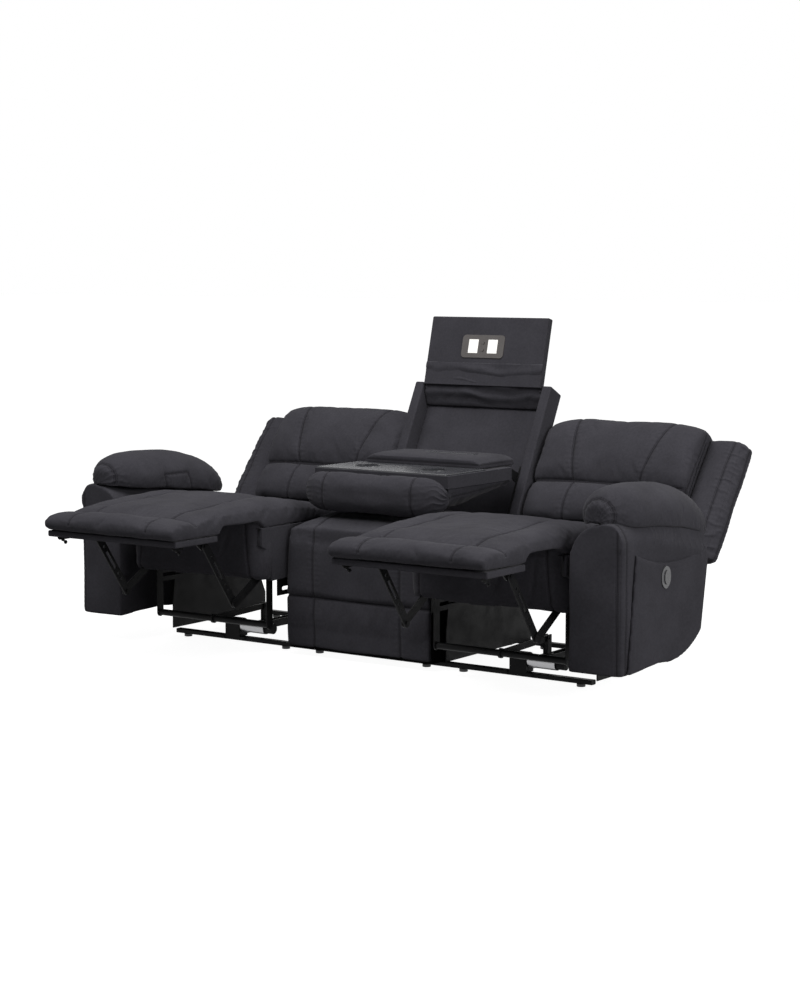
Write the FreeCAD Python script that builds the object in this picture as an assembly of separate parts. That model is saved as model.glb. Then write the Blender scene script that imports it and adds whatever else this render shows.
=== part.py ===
import FreeCAD, Part
import math
import os

# Three-seat sofa: two end seats with motor-driven footrests and reclining backs, and
# a middle seat whose back folds down into a console with cup wells, a lidded box and
# a lamp flap. Drawn as photographed: footrests out, backs down, console and flap open.
# Millimetres. X runs along the sofa, Y from front to back, Z up from the floor.
# While drawing, Y = 0 is the middle of the front floor rail.

Vector = FreeCAD.Vector
os.makedirs("parts", exist_ok=True)

# Row frame
middle_of_depth = 60.0        # from the front rail back to the middle of the opened sofa

# Seats
seat_width = 580.0            # one seat, and the spacing of the seats
side_play = 3.0               # free space on each side of what moves inside a seat
seat_travel = 130.0           # how far an end seat runs back as it closes

# Floor rails and feet
foot_radius = 14.0
foot_height = 10.0
foot_inset = 72.0             # foot centre from the edge of its seat
rail_height = 15.0
rail_depth = 25.0
rail_overhang = 27.0          # from the rail's end in to the seat's outer edge
rail_spacing = 500.0          # front rail to rear rail
spacer_front = 60.0           # bolts that carry each arm, behind the front rail
spacer_rear = 210.0
spacer_height = 165.0
bolt_radius = 4.0
bolt_head = 3.0
bolt_pitch = 46.0

# Steel plates of the recliner mechanism
plate = 4.0
base_plate_inset = 8.0        # from the seat's edge in to the fixed plate
base_plate_height = 215.0
plate_end = 10.0              # plate's ends beyond the middle of each floor rail
plate_front_height = 95.0
plate_rear_height = 65.0
plate_shoulder = 45.0         # from a guide stud to the plate's upper corner
seat_rail_inset = 20.0
drive_link_inset = 46.0
plate_gap = 4.0               # between neighbouring moving plates
stud_radius = 6.0
stud_play = 0.05              # radial clearance of a running stud
open_stud_play = 0.4          # radial clearance at the pivot that closes the linkage
link_width = 30.0
guide_height = 222.0          # centre of the long slots that the seat runs on
guide_front = 50.0
guide_rear = 395.0
guide_play = 0.4

# Footrest linkage, side view
fold_y = -262.0               # line where the footrest folds, on the seat's top
fold_z = 508.0
bracket_y = -440.0            # stud under the footrest
bracket_z = 400.0
anchor_y = -120.0             # stud of the drive link on the seat's rail
anchor_z = 305.0
tube_drop = 205.0             # drive tube's centre below that stud
tube_radius = 11.0
tube_inset = 66.0
tube_bend = 55.0

# Footrest
footrest_front = -640.0
footrest_bottom = 415.0
board_rear = -425.0
board_thickness = 20.0
footrest_width = 552.0
web_thickness = 42.0
fold_play = 1.5
soft_gap = 0.3                # a soft piece to the piece that carries it

# Seat frame and cushion
board = 18.0
seat_box_bottom = 257.0
deck_bottom = 402.0
deck_top = 438.0
front_board_play = 8.0        # front board to the stowed footrest's web
stow_gap = 6.0                # side boards to the stowed footrest's board
front_board_bottom = 376.0
seat_deck_rear = 368.0
cushion_rear = 392.0
seat_top_rear = 452.0
seat_crown = 14.0
seat_swell = 12.0             # how far the seat's top rises between its front and rear edges
footrest_swell = 4.0

# Back of an end seat
back_pivot_y = 400.0
back_pivot_z = 395.0
back_lean = 36.6
shell_front = 46.0            # front face of the back's shell behind the pivot
shell_foot = 18.0             # shell's bottom edge above the pivot
shell_top = 452.0
shell_depth_low = 16.0
shell_depth_high = 78.0
strap_width = 14.0            # steel strap let into the shell's front on each side
strap_top = 190.0
lumbar_low = 78.0
head_low = 221.0
head_high = 474.0
seam_gap = 1.0
back_pad = 50.0
lumbar_crown = 22.0
head_crown = 34.0
back_seam = 128.0             # upright seams, each side of the middle
wing_width = 132.0
wing_front = 40.0
wing_depth = 60.0
wing_high = 452.0

# Arms
arm_gap = 23.0                # seat edge to the arm's inner face
arm_width = 184.0
arm_front = -244.0
arm_rear = 288.0
arm_bottom = 92.0
arm_top = 548.0
arm_top_fall = 46.0           # how much lower the arm's top is at its rear end
arm_shoulder = 430.0          # where the arm's inner face starts to curve in
arm_edge = 22.0
arm_sweep_front = -23.0       # the lower edge's straight run ends here and rises in an arc
arm_sweep_middle = 150.0
arm_sweep_rear = 249.0
arm_heel = 386.0              # height of the lower end of the upright rear edge
side_seam_front = 453.0       # curved seam over the side panel: its height at three places
side_seam_middle = 409.0
side_seam_rear = 436.0
side_seam_inset = 68.0        # from the arm's front to the seam's front end
side_seam_low = 44.0          # where the seam is lowest
side_panel = 11.0
pillow_width = 238.0
pillow_front = -292.0
pillow_rear = 428.0
pillow_height = 106.0
pillow_seat = 0.4

# Recline switch on the outer side of each arm
switch_y = -2.0
switch_z = 367.0
switch_height = 69.0
switch_width = 56.0
switch_plate = 4.0
rocker_height = 44.0
rocker_width = 26.0
rocker_rise = 3.0
rocker_pin = 1.6
rocker_play = 0.35

# Actuator of an end seat
channel_width = 34.0
channel_height = 26.0
channel_wall = 3.0
channel_bottom = 28.0
channel_rear = 452.0
gearbox_width = 62.0
gearbox_height = 62.0
gearbox_depth = 44.0
motor_radius = 21.0
motor_length = 104.0
motor_cap = 30.0
carriage_start = 158.0        # carriage stud when the seat is open
carriage_z = 108.0            # height of its stud
carriage_length = 44.0
carriage_rise = 3.0           # nut's top above the channel
carriage_stud = 5.0           # round bosses on its ears, on both sides of the push link
boss_gap = 0.4                # from a boss to the link between them
ear_gap = 1.0                 # from an ear to the link
ear_thickness = 4.0
push_link_thickness = 8.0
push_link_width = 20.0
push_link_eye = 16.0

# Middle seat
panel_front = -89.0
panel_thickness = 20.0
panel_bottom = 34.0
panel_top = 404.0
panel_seam = 203.0
panel_seam_depth = 4.0
middle_box_rear = 348.0
middle_beam_bottom = 290.0    # each side board runs on to the post behind it
middle_beam_height = 90.0
middle_cushion_rear = 366.0
middle_top_rear = 460.0
middle_crown = 14.0

# Middle back: two posts and a panel
post_y = 452.0                # front of the posts at seat height
post_z = 470.0
post_lean = 27.0
post_length = 466.0
post_play = 6.0               # seat's edge in to the post's outer face
post_width = 37.0
post_depth = 78.0
recess_depth = 60.0

# Console
hinge_y = 470.0
hinge_z = 600.0
hinge_pin = 5.0
hinge_drop = 131.0            # how far the console's hinge runs down its channels
console_inset = 20.0          # seat's edge in to the console's side
core_play = 15.0              # post's inner face to the part of the deck between the posts
console_front = 45.0
console_rear = 494.0
console_bottom = 579.0
console_top = 621.0
notch_front = 432.0
tray_inset = 8.0              # console's side in to the tray
tray_thickness = 5.0
tray_rear = 282.0
cup_x = 135.0                 # each cup's centre from the middle
cup_y = 160.0
cup_radius = 40.0
cup_wall = 2.0
cup_play = 0.5
box_side = 42.0               # deck's side to the storage box
box_front = 305.0
box_rear = 455.0
box_floor = 5.0
lid_play = 2.0                # lid to the hinge plate beside it
lid_front = 286.0
lid_rear = 509.0
lid_thickness = 34.7
lid_crown = 8.0
strip_half_length = 100.0
strip_width = 26.0
strip_thickness = 3.0
strip_proud = 1.2             # how far the strip stands above the lid
strip_x = 50.0
roll_inset = 9.0              # seat's edge in to the roll's end
roll_y = 8.0
roll_z = 550.0
roll_depth = 38.0
roll_height = 70.0
pad_front_play = 3.0          # free space behind the roll for the pad's swelling front
pad_front_thickness = 76.0
pad_rear_thickness = 12.0
runner_width = 46.0
runner_depth = 5.8
runner_groove = 20.0
hinge_plate_inset = 7.0       # from the post's inner face to the hinge plate

# Lamp flap
flap_lean = 14.0
flap_pivot_up = 450.0         # along the posts from seat height
flap_pivot_in = 22.0          # behind the posts' front face
flap_play = 5.0               # flap to the post beside it
flap_thickness = 25.0
flap_low = 12.0
flap_high = 258.0
flap_pin = 4.0
lamp_x = -12.5
lamp_up = 151.0
lamp_plate_width = 175.0
lamp_plate_height = 82.0
lamp_plate_thickness = 3.0
lamp_spacing = 80.0
lamp_width = 40.0
lamp_height = 50.0
lamp_switch_radius = 5.0
lamp_switch_spacing = 26.0
lamp_switch_rise = 2.5


# Plain solids

def block(x0, x1, y0, y1, z0, z1):
    return Part.makeBox(x1 - x0, y1 - y0, z1 - z0, Vector(x0, y0, z0))


def rod_x(x0, x1, y, z, radius):
    return Part.makeCylinder(radius, x1 - x0, Vector(x0, y, z), Vector(1, 0, 0))


def joined(shapes):
    result = shapes[0]
    for shape in shapes[1:]:
        result = result.fuse(shape)
    return result.removeSplitter()


def outline_wire(path, place):
    """A closed wire: path starts with a point, then has points and (middle, end) arcs."""
    edges = []
    here = path[0]
    for step in list(path[1:]) + [path[0]]:
        if isinstance(step[0], tuple):
            middle, there = step
            edges.append(Part.Arc(place(*here), place(*middle), place(*there)).toShape())
        else:
            there = step
            if there != here:
                edges.append(Part.LineSegment(place(*here), place(*there)).toShape())
        here = there
    return Part.Wire(edges)


def side_plate(path, x0, x1):
    """A flat piece whose outline is seen from the side: (y, z) points."""
    wire = outline_wire(path, lambda y, z: Vector(x0, y, z))
    return Part.Face(wire).extrude(Vector(x1 - x0, 0, 0))


def link(y0, z0, y1, z1, width, x0, x1):
    """A flat bar with round ends between two stud centres."""
    length = math.hypot(y1 - y0, z1 - z0)
    along_y = (y1 - y0) / length
    along_z = (z1 - z0) / length
    half = width / 2

    def at(a, b):
        return (y0 + a * along_y - b * along_z, z0 + a * along_z + b * along_y)

    path = [at(0, -half), at(length, -half), (at(length + half, 0), at(length, half)),
            at(0, half), (at(-half, 0), at(0, -half))]
    return side_plate(path, x0, x1)


def leaned(shape, angle, y, z):
    """Tip a piece drawn upright at the origin back by an angle and set its foot at y, z."""
    moved = shape.copy()
    moved.rotate(Vector(0, 0, 0), Vector(1, 0, 0), -angle)
    moved.translate(Vector(0, y, z))
    return moved


def mirrored(shape):
    return shape.mirror(Vector(0, 0, 0), Vector(1, 0, 0))


def both_sides(shape):
    return Part.makeCompound([shape, mirrored(shape)])


# Upholstered solids

def padded(rows, length, fall_low, fall_high, place):
    """A pad lofted across its width: a flat underside, drawn-in sides and a crowned top.

    Each row is (across, thickness, inset). Where the pad is thickest, its top falls by
    fall_low towards the start of the length and by fall_high towards its end.
    """
    thickest = max(row[1] for row in rows)
    wires = []
    for across, thickness, inset in rows:
        low = (inset, thickness * (1.0 - fall_low / thickest))
        high = (length - inset, thickness * (1.0 - fall_high / thickest))
        path = [(inset, 0.0), (length - inset, 0.0), high, ((length / 2, thickness), low)]
        wires.append(outline_wire(path, lambda along, up: place(across, along, up)))
    return Part.makeLoft(wires, True, False)


def pad_rows(middle, width, edge, full, crown, seams, dip, shoulder, inset):
    """Rows across a pad, with a shallow channel at each seam."""
    half = width / 2
    rows = [(middle - half, edge, inset), (middle - half + shoulder, full, 0.0)]
    last = -half + shoulder
    for seam in seams:
        rows.append((middle + (last + seam) / 2, full + crown * 0.7, 0.0))
        rows.append((middle + seam, full + crown * 0.7 - dip, 0.0))
        last = seam
    rows.append((middle + (last + half - shoulder) / 2, full + crown * 0.7, 0.0))
    rows += [(middle + half - shoulder, full, 0.0), (middle + half, edge, inset)]
    return rows


def ring(place, half_width, half_height):
    """A closed oval of four arcs."""
    slant = math.sqrt(0.5)
    corners = [(1, 0), (0, 1), (-1, 0), (0, -1)]
    edges = []
    for index, start in enumerate(corners):
        end = corners[(index + 1) % 4]
        middle = ((start[0] + end[0]) * slant, (start[1] + end[1]) * slant)
        points = [place(a * half_width, b * half_height) for a, b in (start, middle, end)]
        edges.append(Part.Arc(*points).toShape())
    return Part.Wire(edges)


def oval_plate(y, z, width, height, x0, x1):
    """An upright oval plate lying against the arm's outer side."""
    wire = ring(lambda a, b: Vector(x0, y + a, z + b), width / 2, height / 2)
    return Part.Face(wire).extrude(Vector(x1 - x0, 0, 0))


# Places that several pieces share
lid_bottom = console_top + soft_gap
strip_bottom = lid_bottom + lid_thickness + 0.7 * lid_crown + strip_proud - strip_thickness
seat_front = fold_y + web_thickness + front_board_play
seat_front_low = fold_y + fold_z - footrest_bottom + stow_gap
stowed_board_top = fold_z - fold_y + board_rear
inner_edge = seat_width / 2
outer_edge = inner_edge + seat_width
seat_middle = seat_width
rail_bottom = foot_height
rail_top = foot_height + rail_height
elbow_y = anchor_y + bracket_y - fold_y
elbow_z = anchor_z + bracket_z - fold_z
arm_inner = outer_edge + arm_gap
arm_outer = arm_inner + arm_width
panel_outer = arm_outer + side_panel
upper_link_inset = drive_link_inset + plate + plate_gap
bracket_inset = upper_link_inset + plate + plate_gap
back_bracket_inset = seat_rail_inset + plate + plate_gap
post_outer = inner_edge - post_play
post_inner = post_outer - post_width
console_half_width = inner_edge - console_inset
core_half_width = post_inner - core_play
tray_half_width = console_half_width - tray_inset
box_half_width = core_half_width - box_side
lid_half_width = post_inner - hinge_plate_inset - plate - lid_play
roll_half_width = inner_edge - roll_inset
flap_half_width = post_inner - flap_play


def in_seat(inset, thickness):
    """The two X spans of a plate that lies inset from each edge of the right seat."""
    return ((inner_edge + inset, inner_edge + inset + thickness),
            (outer_edge - inset - thickness, outer_edge - inset))


def inward(span):
    """+1 when the seat's inside lies at larger X than this plate, otherwise -1."""
    return 1 if (span[0] + span[1]) / 2 < seat_middle else -1


def stud(span, reach, y, z, radius):
    """A stud from a plate towards the seat's inside, reaching over the given length."""
    if inward(span) > 0:
        return rod_x(span[0], span[1] + reach, y, z, radius)
    return rod_x(span[0] - reach, span[1], y, z, radius)


# Floor rails, feet and bolts

def floor_rails():
    reach = outer_edge - rail_overhang
    rails = []
    for y in (0.0, rail_spacing):
        bar = block(-reach, reach, y - rail_depth / 2, y + rail_depth / 2, rail_bottom, rail_top)
        rails.append(bar.makeChamfer(2.0, [e for e in bar.Edges if e.Length > reach]))
    return Part.makeCompound(rails)


def foot_places():
    places = [inner_edge - foot_inset, inner_edge + foot_inset, outer_edge - foot_inset]
    return [(side * x, y) for y in (0.0, rail_spacing) for side in (-1, 1) for x in places]


def floor_feet():
    feet = []
    for x, y in foot_places():
        foot = Part.makeCylinder(foot_radius, foot_height, Vector(x, y, 0))
        feet.append(foot.makeFillet(1.5, [foot.Edges[0], foot.Edges[2]]))
    return Part.makeCompound(feet)


def fasteners():
    """Bolt heads on the front rail, spacer bolts that carry the arms, and the flap's pivot pins."""
    bolts = []
    for side in (-1, 1):
        for step in (-1, 1):
            x = side * seat_middle + step * bolt_pitch
            bolts.append(Part.makeCylinder(
                bolt_radius, bolt_head, Vector(x, -rail_depth / 2, (rail_bottom + rail_top) / 2),
                Vector(0, -1, 0)))
        for y in (spacer_front, spacer_rear):
            spacer = rod_x(outer_edge - base_plate_inset, arm_inner, y, spacer_height, 2 * bolt_radius)
            bolts.append(spacer if side > 0 else mirrored(spacer))
    pin = on_flap(rod_x(flap_half_width - 10.0, post_inner, 0.0, 0.0, flap_pin))
    return Part.makeCompound(bolts + [pin, mirrored(pin)])


def base_plates():
    """Fixed side plates of each recliner, with the studs that the seat runs on."""
    solids = []
    for span in in_seat(base_plate_inset, plate):
        top = rail_top + base_plate_height
        path = [(-plate_end, rail_top), (rail_spacing + plate_end, rail_top),
                (rail_spacing + plate_end, rail_top + plate_rear_height), (guide_rear + plate_shoulder, top),
                (guide_front - plate_shoulder, top), (-plate_end, rail_top + plate_front_height)]
        body = side_plate(path, *span)
        reach = seat_rail_inset + plate - base_plate_inset - plate + 2.0
        for y in (guide_front, guide_rear):
            body = body.fuse(stud(span, reach, y, guide_height, stud_radius))
        solids += [body.removeSplitter(), mirrored(body.removeSplitter())]
    return Part.makeCompound(solids)


# Arms

def arm_profile(inner, outer, low, high):
    """The arm seen from the front: straight outside, inside face curving in to the top."""
    return [(inner, low), (inner, arm_shoulder),
            ((inner + 17.0, high - 52.0), (inner + 62.0, high - 16.0)),
            ((inner + 110.0, high - 3.0), (outer - 45.0, high)),
            ((outer - 12.0, high - 14.0), (outer, high - 50.0)), (outer, low)]


def arm_side(front, rear, low, high):
    """The arm seen from outside: its top falls to the back, its lower rear corner is cut in a curve."""
    return [(front, low), (arm_sweep_front, low + 13.0),
            ((arm_sweep_middle, low + 24.0), (arm_sweep_rear, low + 80.0)),
            (rear, arm_heel), (rear - 14.0, high - arm_top_fall), (front, high)]


def arm_shell():
    profile = outline_wire(arm_profile(arm_inner, arm_outer, arm_bottom, arm_top),
                           lambda x, z: Vector(x, arm_front, z))
    bar = Part.Face(profile).extrude(Vector(0, arm_rear - arm_front, 0))
    side = side_plate(arm_side(arm_front, arm_rear, arm_bottom, arm_top + 5.0),
                      arm_inner - 5.0, arm_outer + 5.0)
    shell = bar.common(side)
    edges = [e for e in shell.Edges
             if abs(e.BoundBox.YMin - arm_front) < 0.1 and abs(e.BoundBox.YMax - arm_front) < 0.1
             and e.BoundBox.XMin > arm_outer - 1.0]
    return shell.makeFillet(arm_edge, edges)


def arm_side_panel():
    """The raised panel on the arm's outer side, under its curved seam."""
    path = [(arm_front + 26.0, arm_bottom + 4.0), (arm_sweep_front + 3.0, arm_bottom + 16.0),
            ((arm_sweep_middle - 3.0, arm_bottom + 27.0), (arm_sweep_rear - 6.0, arm_bottom + 82.0)),
            (arm_rear - 6.0, arm_heel), (arm_rear - 12.0, side_seam_rear),
            ((side_seam_low, side_seam_middle), (arm_front + side_seam_inset, side_seam_front))]
    body = side_plate(path, arm_outer, panel_outer)
    return body.makeFillet(side_panel * 0.7, [e for e in body.Edges
                                              if e.BoundBox.XMin > panel_outer - 0.1])


def arm_top_at(y):
    """Height of the arm's sloping top, carried on past its rear end."""
    return arm_top + 5.0 - arm_top_fall * (y - arm_front) / (arm_rear - 14.0 - arm_front)


def loaf(half_width, height, place):
    """A closed section with a flat underside, full sides and a domed top."""
    foot = 0.72 * half_width
    shoulder = 0.74 * half_width
    path = [(-foot, 0.0), (foot, 0.0), ((half_width, 0.42 * height), (shoulder, 0.84 * height)),
            ((0.0, height), (-shoulder, 0.84 * height)),
            ((-half_width, 0.42 * height), (-foot, 0.0))]
    return outline_wire(path, place)


def arm_pillow():
    """The stuffed pillow that lies along the arm's top, drawn in at both ends."""
    middle = (arm_inner + arm_outer) / 2 + 2.0
    length = pillow_rear - pillow_front
    stations = [(0.0, 0.46, 0.52), (0.06, 0.80, 0.80), (0.25, 0.97, 0.98), (0.50, 1.0, 1.0),
                (0.76, 0.95, 0.92), (0.94, 0.76, 0.66), (1.0, 0.44, 0.40)]
    wires = []
    for share, wide, tall in stations:
        y = pillow_front + share * length
        low = arm_top_at(y) + pillow_seat
        wires.append(loaf(pillow_width / 2 * wide, pillow_height * tall,
                          lambda a, b: Vector(middle + a, y, low + b)))
    return Part.makeLoft(wires, True, False)


def switch_plate_pair():
    """The oval bezel round each recline switch, with its well for the rocker."""
    plate_solid = oval_plate(switch_y, switch_z, switch_width, switch_height,
                             panel_outer, panel_outer + switch_plate)
    well = oval_plate(switch_y, switch_z, rocker_width + 2 * rocker_play,
                      rocker_height + 2 * rocker_play, panel_outer + 1.0,
                      panel_outer + switch_plate + 1.0)
    body = plate_solid.cut(well)
    return both_sides(body)


def recline_rocker():
    base = panel_outer + 1.0 + rocker_play + 1.2
    return oval_plate(switch_y, switch_z, rocker_width, rocker_height, base,
                      panel_outer + switch_plate + rocker_rise)


# Middle seat

def middle_box():
    """The middle seat's box: it stands on the front rail and its sides run on to the posts."""
    half = inner_edge - side_play
    body = block(-half, half, panel_front + panel_thickness, middle_box_rear,
                 rail_top, panel_top)
    hollow = block(-half + board, half - board, panel_front + panel_thickness + board,
                   middle_box_rear - board, rail_top - 1.0, panel_top - board)
    beam = block(half - board, half, middle_box_rear, post_y, middle_beam_bottom,
                 middle_beam_bottom + middle_beam_height)
    return joined([body.cut(hollow), beam, mirrored(beam)])


def middle_front_panel():
    """Upholstered front of the middle seat, with one seam across it."""
    half = inner_edge - side_play
    top = panel_top
    path = [(panel_front, panel_bottom), (panel_front + panel_thickness, panel_bottom),
            (panel_front + panel_thickness, top), (panel_front + 8.0, top),
            ((panel_front + 2.4, top - 2.4), (panel_front, top - 8.0)),
            (panel_front, panel_seam + panel_seam_depth),
            ((panel_front + panel_seam_depth, panel_seam), (panel_front, panel_seam - panel_seam_depth))]
    return side_plate(path, -half, half)


def middle_cushion():
    length = middle_cushion_rear - panel_front
    rows = pad_rows(0.0, seat_width - 2 * side_play, 44.0, middle_top_rear - panel_top,
                    middle_crown, (), 0.0, 45.0, 6.0)
    return padded(rows, length, 30.0, 12.0,
                  lambda x, a, b: Vector(x, panel_front + a, panel_top + soft_gap + b))


# Recliner seat, right side of the sofa; the left one is its mirror image

def seat_frame():
    """Side boards, front board and deck of an end seat."""
    solids = []
    for x0, x1 in in_seat(side_play, seat_rail_inset - side_play):
        path = [(seat_front, deck_top), (seat_front, front_board_bottom),
                (seat_front_low, stowed_board_top + stow_gap), (seat_front_low, seat_box_bottom),
                (seat_deck_rear, seat_box_bottom + board), (seat_deck_rear, deck_top)]
        solids.append(side_plate(path, x0, x1))
    low = inner_edge + seat_rail_inset
    high = outer_edge - seat_rail_inset
    solids.append(block(low, high, seat_front, seat_front + board, front_board_bottom, deck_top))
    solids.append(block(low, high, seat_front + board, seat_deck_rear, deck_bottom, deck_top))
    return Part.makeCompound(solids)


def seat_rails():
    """Steel rails screwed inside the side boards; they carry both linkages and the back."""
    solids = []
    for span in in_seat(seat_rail_inset, plate):
        path = [(anchor_y - 26.0, deck_bottom), (anchor_y - 26.0, anchor_z - 22.0),
                (anchor_y + 10.0, anchor_z - 40.0), (guide_front - seat_travel - 30.0, guide_height - 22.0),
                (guide_rear + 22.0, guide_height - 22.0), (guide_rear + 22.0, guide_height + 40.0),
                (back_pivot_y + 16.0, back_pivot_z - 14.0),
                ((back_pivot_y + 14.0, back_pivot_z + 14.0), (back_pivot_y - 16.0, back_pivot_z + 10.0)),
                (seat_deck_rear, deck_bottom)]
        body = side_plate(path, *span)
        for y in (guide_front, guide_rear):
            slot = link(y - seat_travel, guide_height, y, guide_height,
                        2 * (stud_radius + guide_play), span[0] - 1.0, span[1] + 1.0)
            body = body.cut(slot)
        reach = drive_link_inset + plate - seat_rail_inset - plate + 3.0
        body = body.fuse(stud(span, reach, anchor_y, anchor_z, stud_radius))
        body = body.fuse(stud(span, back_bracket_inset + plate - seat_rail_inset - plate + 3.0,
                              back_pivot_y, back_pivot_z, stud_radius))
        solids.append(body.removeSplitter())
    return Part.makeCompound(solids)


def seat_cushion():
    """Seat cushion with two lengthwise seams; its front edge is mitred on the fold line."""
    start = fold_y + fold_play
    length = cushion_rear - start
    bottom = deck_top + soft_gap
    full = fold_z - bottom + seat_swell
    rows = pad_rows(seat_middle, seat_width - 2 * side_play, 46.0, full, seat_crown,
                    (-back_seam, back_seam), 7.0, 50.0, 4.0)
    body = padded(rows, length, seat_swell, fold_z + seat_swell - seat_top_rear,
                  lambda x, a, b: Vector(x, start + a, bottom + b))
    mitre = side_plate([(fold_y - 80.0, fold_z + 80.0 + fold_play), (fold_y - 80.0, fold_z - 160.0),
                        (fold_y + 160.0 + fold_play, fold_z - 160.0)],
                       inner_edge - 10.0, outer_edge + 10.0)
    return body.cut(mitre)


def drive_frame():
    """The two drive links and the bent tube welded between them."""
    pieces = []
    for span in in_seat(drive_link_inset, plate):
        arm = link(anchor_y, anchor_z, elbow_y, elbow_z, link_width, *span)
        hole = rod_x(span[0] - 1.0, span[1] + 1.0, anchor_y, anchor_z, stud_radius + stud_play)
        reach = upper_link_inset - drive_link_inset + 3.0
        arm = arm.fuse(stud(span, reach, elbow_y, elbow_z, stud_radius))
        crank = link(anchor_y, anchor_z, anchor_y, anchor_z - tube_drop, link_width, *span)
        pieces.append(arm.fuse(crank).cut(hole).removeSplitter())
    low = inner_edge + drive_link_inset + plate
    high = outer_edge - drive_link_inset - plate
    z = anchor_z - tube_drop
    pieces.append(rod_x(low, high, anchor_y, z, tube_radius))
    return Part.makeCompound(pieces)


def upper_links():
    solids = []
    for span in in_seat(upper_link_inset, plate):
        body = link(elbow_y, elbow_z, bracket_y, bracket_z, link_width, *span)
        for y, z, play in ((elbow_y, elbow_z, stud_play), (bracket_y, bracket_z, open_stud_play)):
            body = body.cut(rod_x(span[0] - 1.0, span[1] + 1.0, y, z, stud_radius + play))
        solids.append(body)
    return Part.makeCompound(solids)


def footrest_brackets():
    """Steel brackets under the footrest's board, with the studs that the links hang on."""
    solids = []
    for span in in_seat(bracket_inset, plate):
        path = [(bracket_y - 45.0, footrest_bottom), (bracket_y - 16.0, bracket_z - 10.0),
                ((bracket_y, bracket_z - 15.0), (bracket_y + 15.0, bracket_z - 8.0)),
                (bracket_y + 15.0, footrest_bottom)]
        body = side_plate(path, *span)
        sign = -inward(span)
        reach = bracket_inset - upper_link_inset + 3.0
        if sign > 0:
            body = body.fuse(rod_x(span[0], span[1] + reach, bracket_y, bracket_z, stud_radius))
        else:
            body = body.fuse(rod_x(span[0] - reach, span[1], bracket_y, bracket_z, stud_radius))
        solids.append(body.removeSplitter())
    return Part.makeCompound(solids)


def footrest_board():
    half = footrest_width / 2
    body = block(seat_middle - half, seat_middle + half, footrest_front + 8.0, board_rear,
                 footrest_bottom, footrest_bottom + board_thickness)
    return body.makeFillet(4.0, [e for e in body.Edges if e.BoundBox.YMax < footrest_front + 9.0])


def footrest_pad():
    """Footrest cushion: thick on its board, then a thinner web back to the fold line."""
    end = fold_y - fold_play
    length = end - footrest_front
    bottom = footrest_bottom + board_thickness + soft_gap
    web_bottom = fold_z - web_thickness
    full = fold_z - bottom + footrest_swell
    rows = pad_rows(seat_middle, footrest_width, 50.0, full, seat_crown, (-back_seam, back_seam),
                    7.0, 50.0, 4.0)
    body = padded(rows, length, 26.0, footrest_swell,
                  lambda x, a, b: Vector(x, footrest_front + a, bottom + b))
    under = side_plate([(board_rear + 6.0, bottom - 10.0), (fold_y + 10.0, bottom - 10.0),
                        (fold_y + 10.0, web_bottom), (board_rear + 30.0, web_bottom)],
                       inner_edge - 20.0, outer_edge + 20.0)
    mitre = side_plate([(fold_y + 80.0, fold_z + 80.0 + fold_play), (fold_y + 80.0, fold_z - 160.0),
                        (fold_y - 160.0 - fold_play, fold_z - 160.0)],
                       inner_edge - 20.0, outer_edge + 20.0)
    return body.cut(under).cut(mitre)


# Back of an end seat, drawn upright about its pivot and then leaned

def back_shell():
    half = seat_width / 2 - side_play
    path = [(shell_front, shell_foot), (shell_front, shell_top - 10.0),
            ((shell_front + 12.0, shell_top), (shell_front + 40.0, shell_top + 4.0)),
            ((shell_front + shell_depth_high - 8.0, shell_top - 6.0),
             (shell_front + shell_depth_high, shell_top - 34.0)),
            (shell_front + shell_depth_low, shell_foot)]
    body = side_plate(path, seat_middle - half, seat_middle + half)
    for x0, x1 in in_seat(back_bracket_inset, plate):
        body = body.cut(block(x0, x1, 0.0, shell_front + strap_width, 0.0, strap_top))
    return leaned(body, back_lean, back_pivot_y, back_pivot_z)


def back_brackets():
    """Steel straps that hang the back on the seat rails' rear studs."""
    solids = []
    for span in in_seat(back_bracket_inset, plate):
        path = [(shell_front + strap_width, shell_foot), (shell_front + strap_width, strap_top),
                (shell_front, strap_top), (shell_front, shell_foot + 2 * link_width)]
        body = side_plate(path, *span)
        body = body.fuse(link(0.0, 0.0, shell_front + strap_width - link_width / 2,
                              shell_foot + link_width, link_width, *span))
        body = body.removeSplitter()
        body = body.cut(rod_x(span[0] - 1.0, span[1] + 1.0, 0.0, 0.0, stud_radius + stud_play))
        solids.append(leaned(body, back_lean, back_pivot_y, back_pivot_z))
    return Part.makeCompound(solids)


def back_cushion():
    """Lumbar and head cushions, each a crowned pad with two upright seams."""
    solids = []
    for low, high, crown, top_fall in ((lumbar_low, head_low - seam_gap, lumbar_crown, 10.0),
                                       (head_low, head_high, head_crown, 20.0)):
        rows = pad_rows(seat_middle, seat_width - 2 * side_play, 26.0, back_pad - 6.0, crown,
                        (-back_seam, back_seam), 8.0, 46.0, 5.0)
        body = padded(rows, high - low, 12.0, top_fall,
                      lambda x, a, b: Vector(x, shell_front - soft_gap - b, low + a))
        solids.append(leaned(body, back_lean, back_pivot_y, back_pivot_z))
    return Part.makeCompound(solids)


def back_wing():
    """The side bolster that fills the space above the arm's rear end."""
    inner = outer_edge - side_play + 0.3
    rows = [(inner, 50.0, 0.0), (inner + 30.0, wing_depth, 0.0),
            (inner + wing_width / 2, wing_depth + 3.0, 0.0),
            (inner + wing_width - 24.0, wing_depth - 4.0, 4.0), (inner + wing_width, 26.0, 16.0)]
    body = padded(rows, wing_high, 10.0, 14.0,
                  lambda x, a, b: Vector(x, wing_front + wing_depth - b, a))
    return leaned(body, back_lean, back_pivot_y, back_pivot_z)


# Actuator of an end seat

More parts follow.
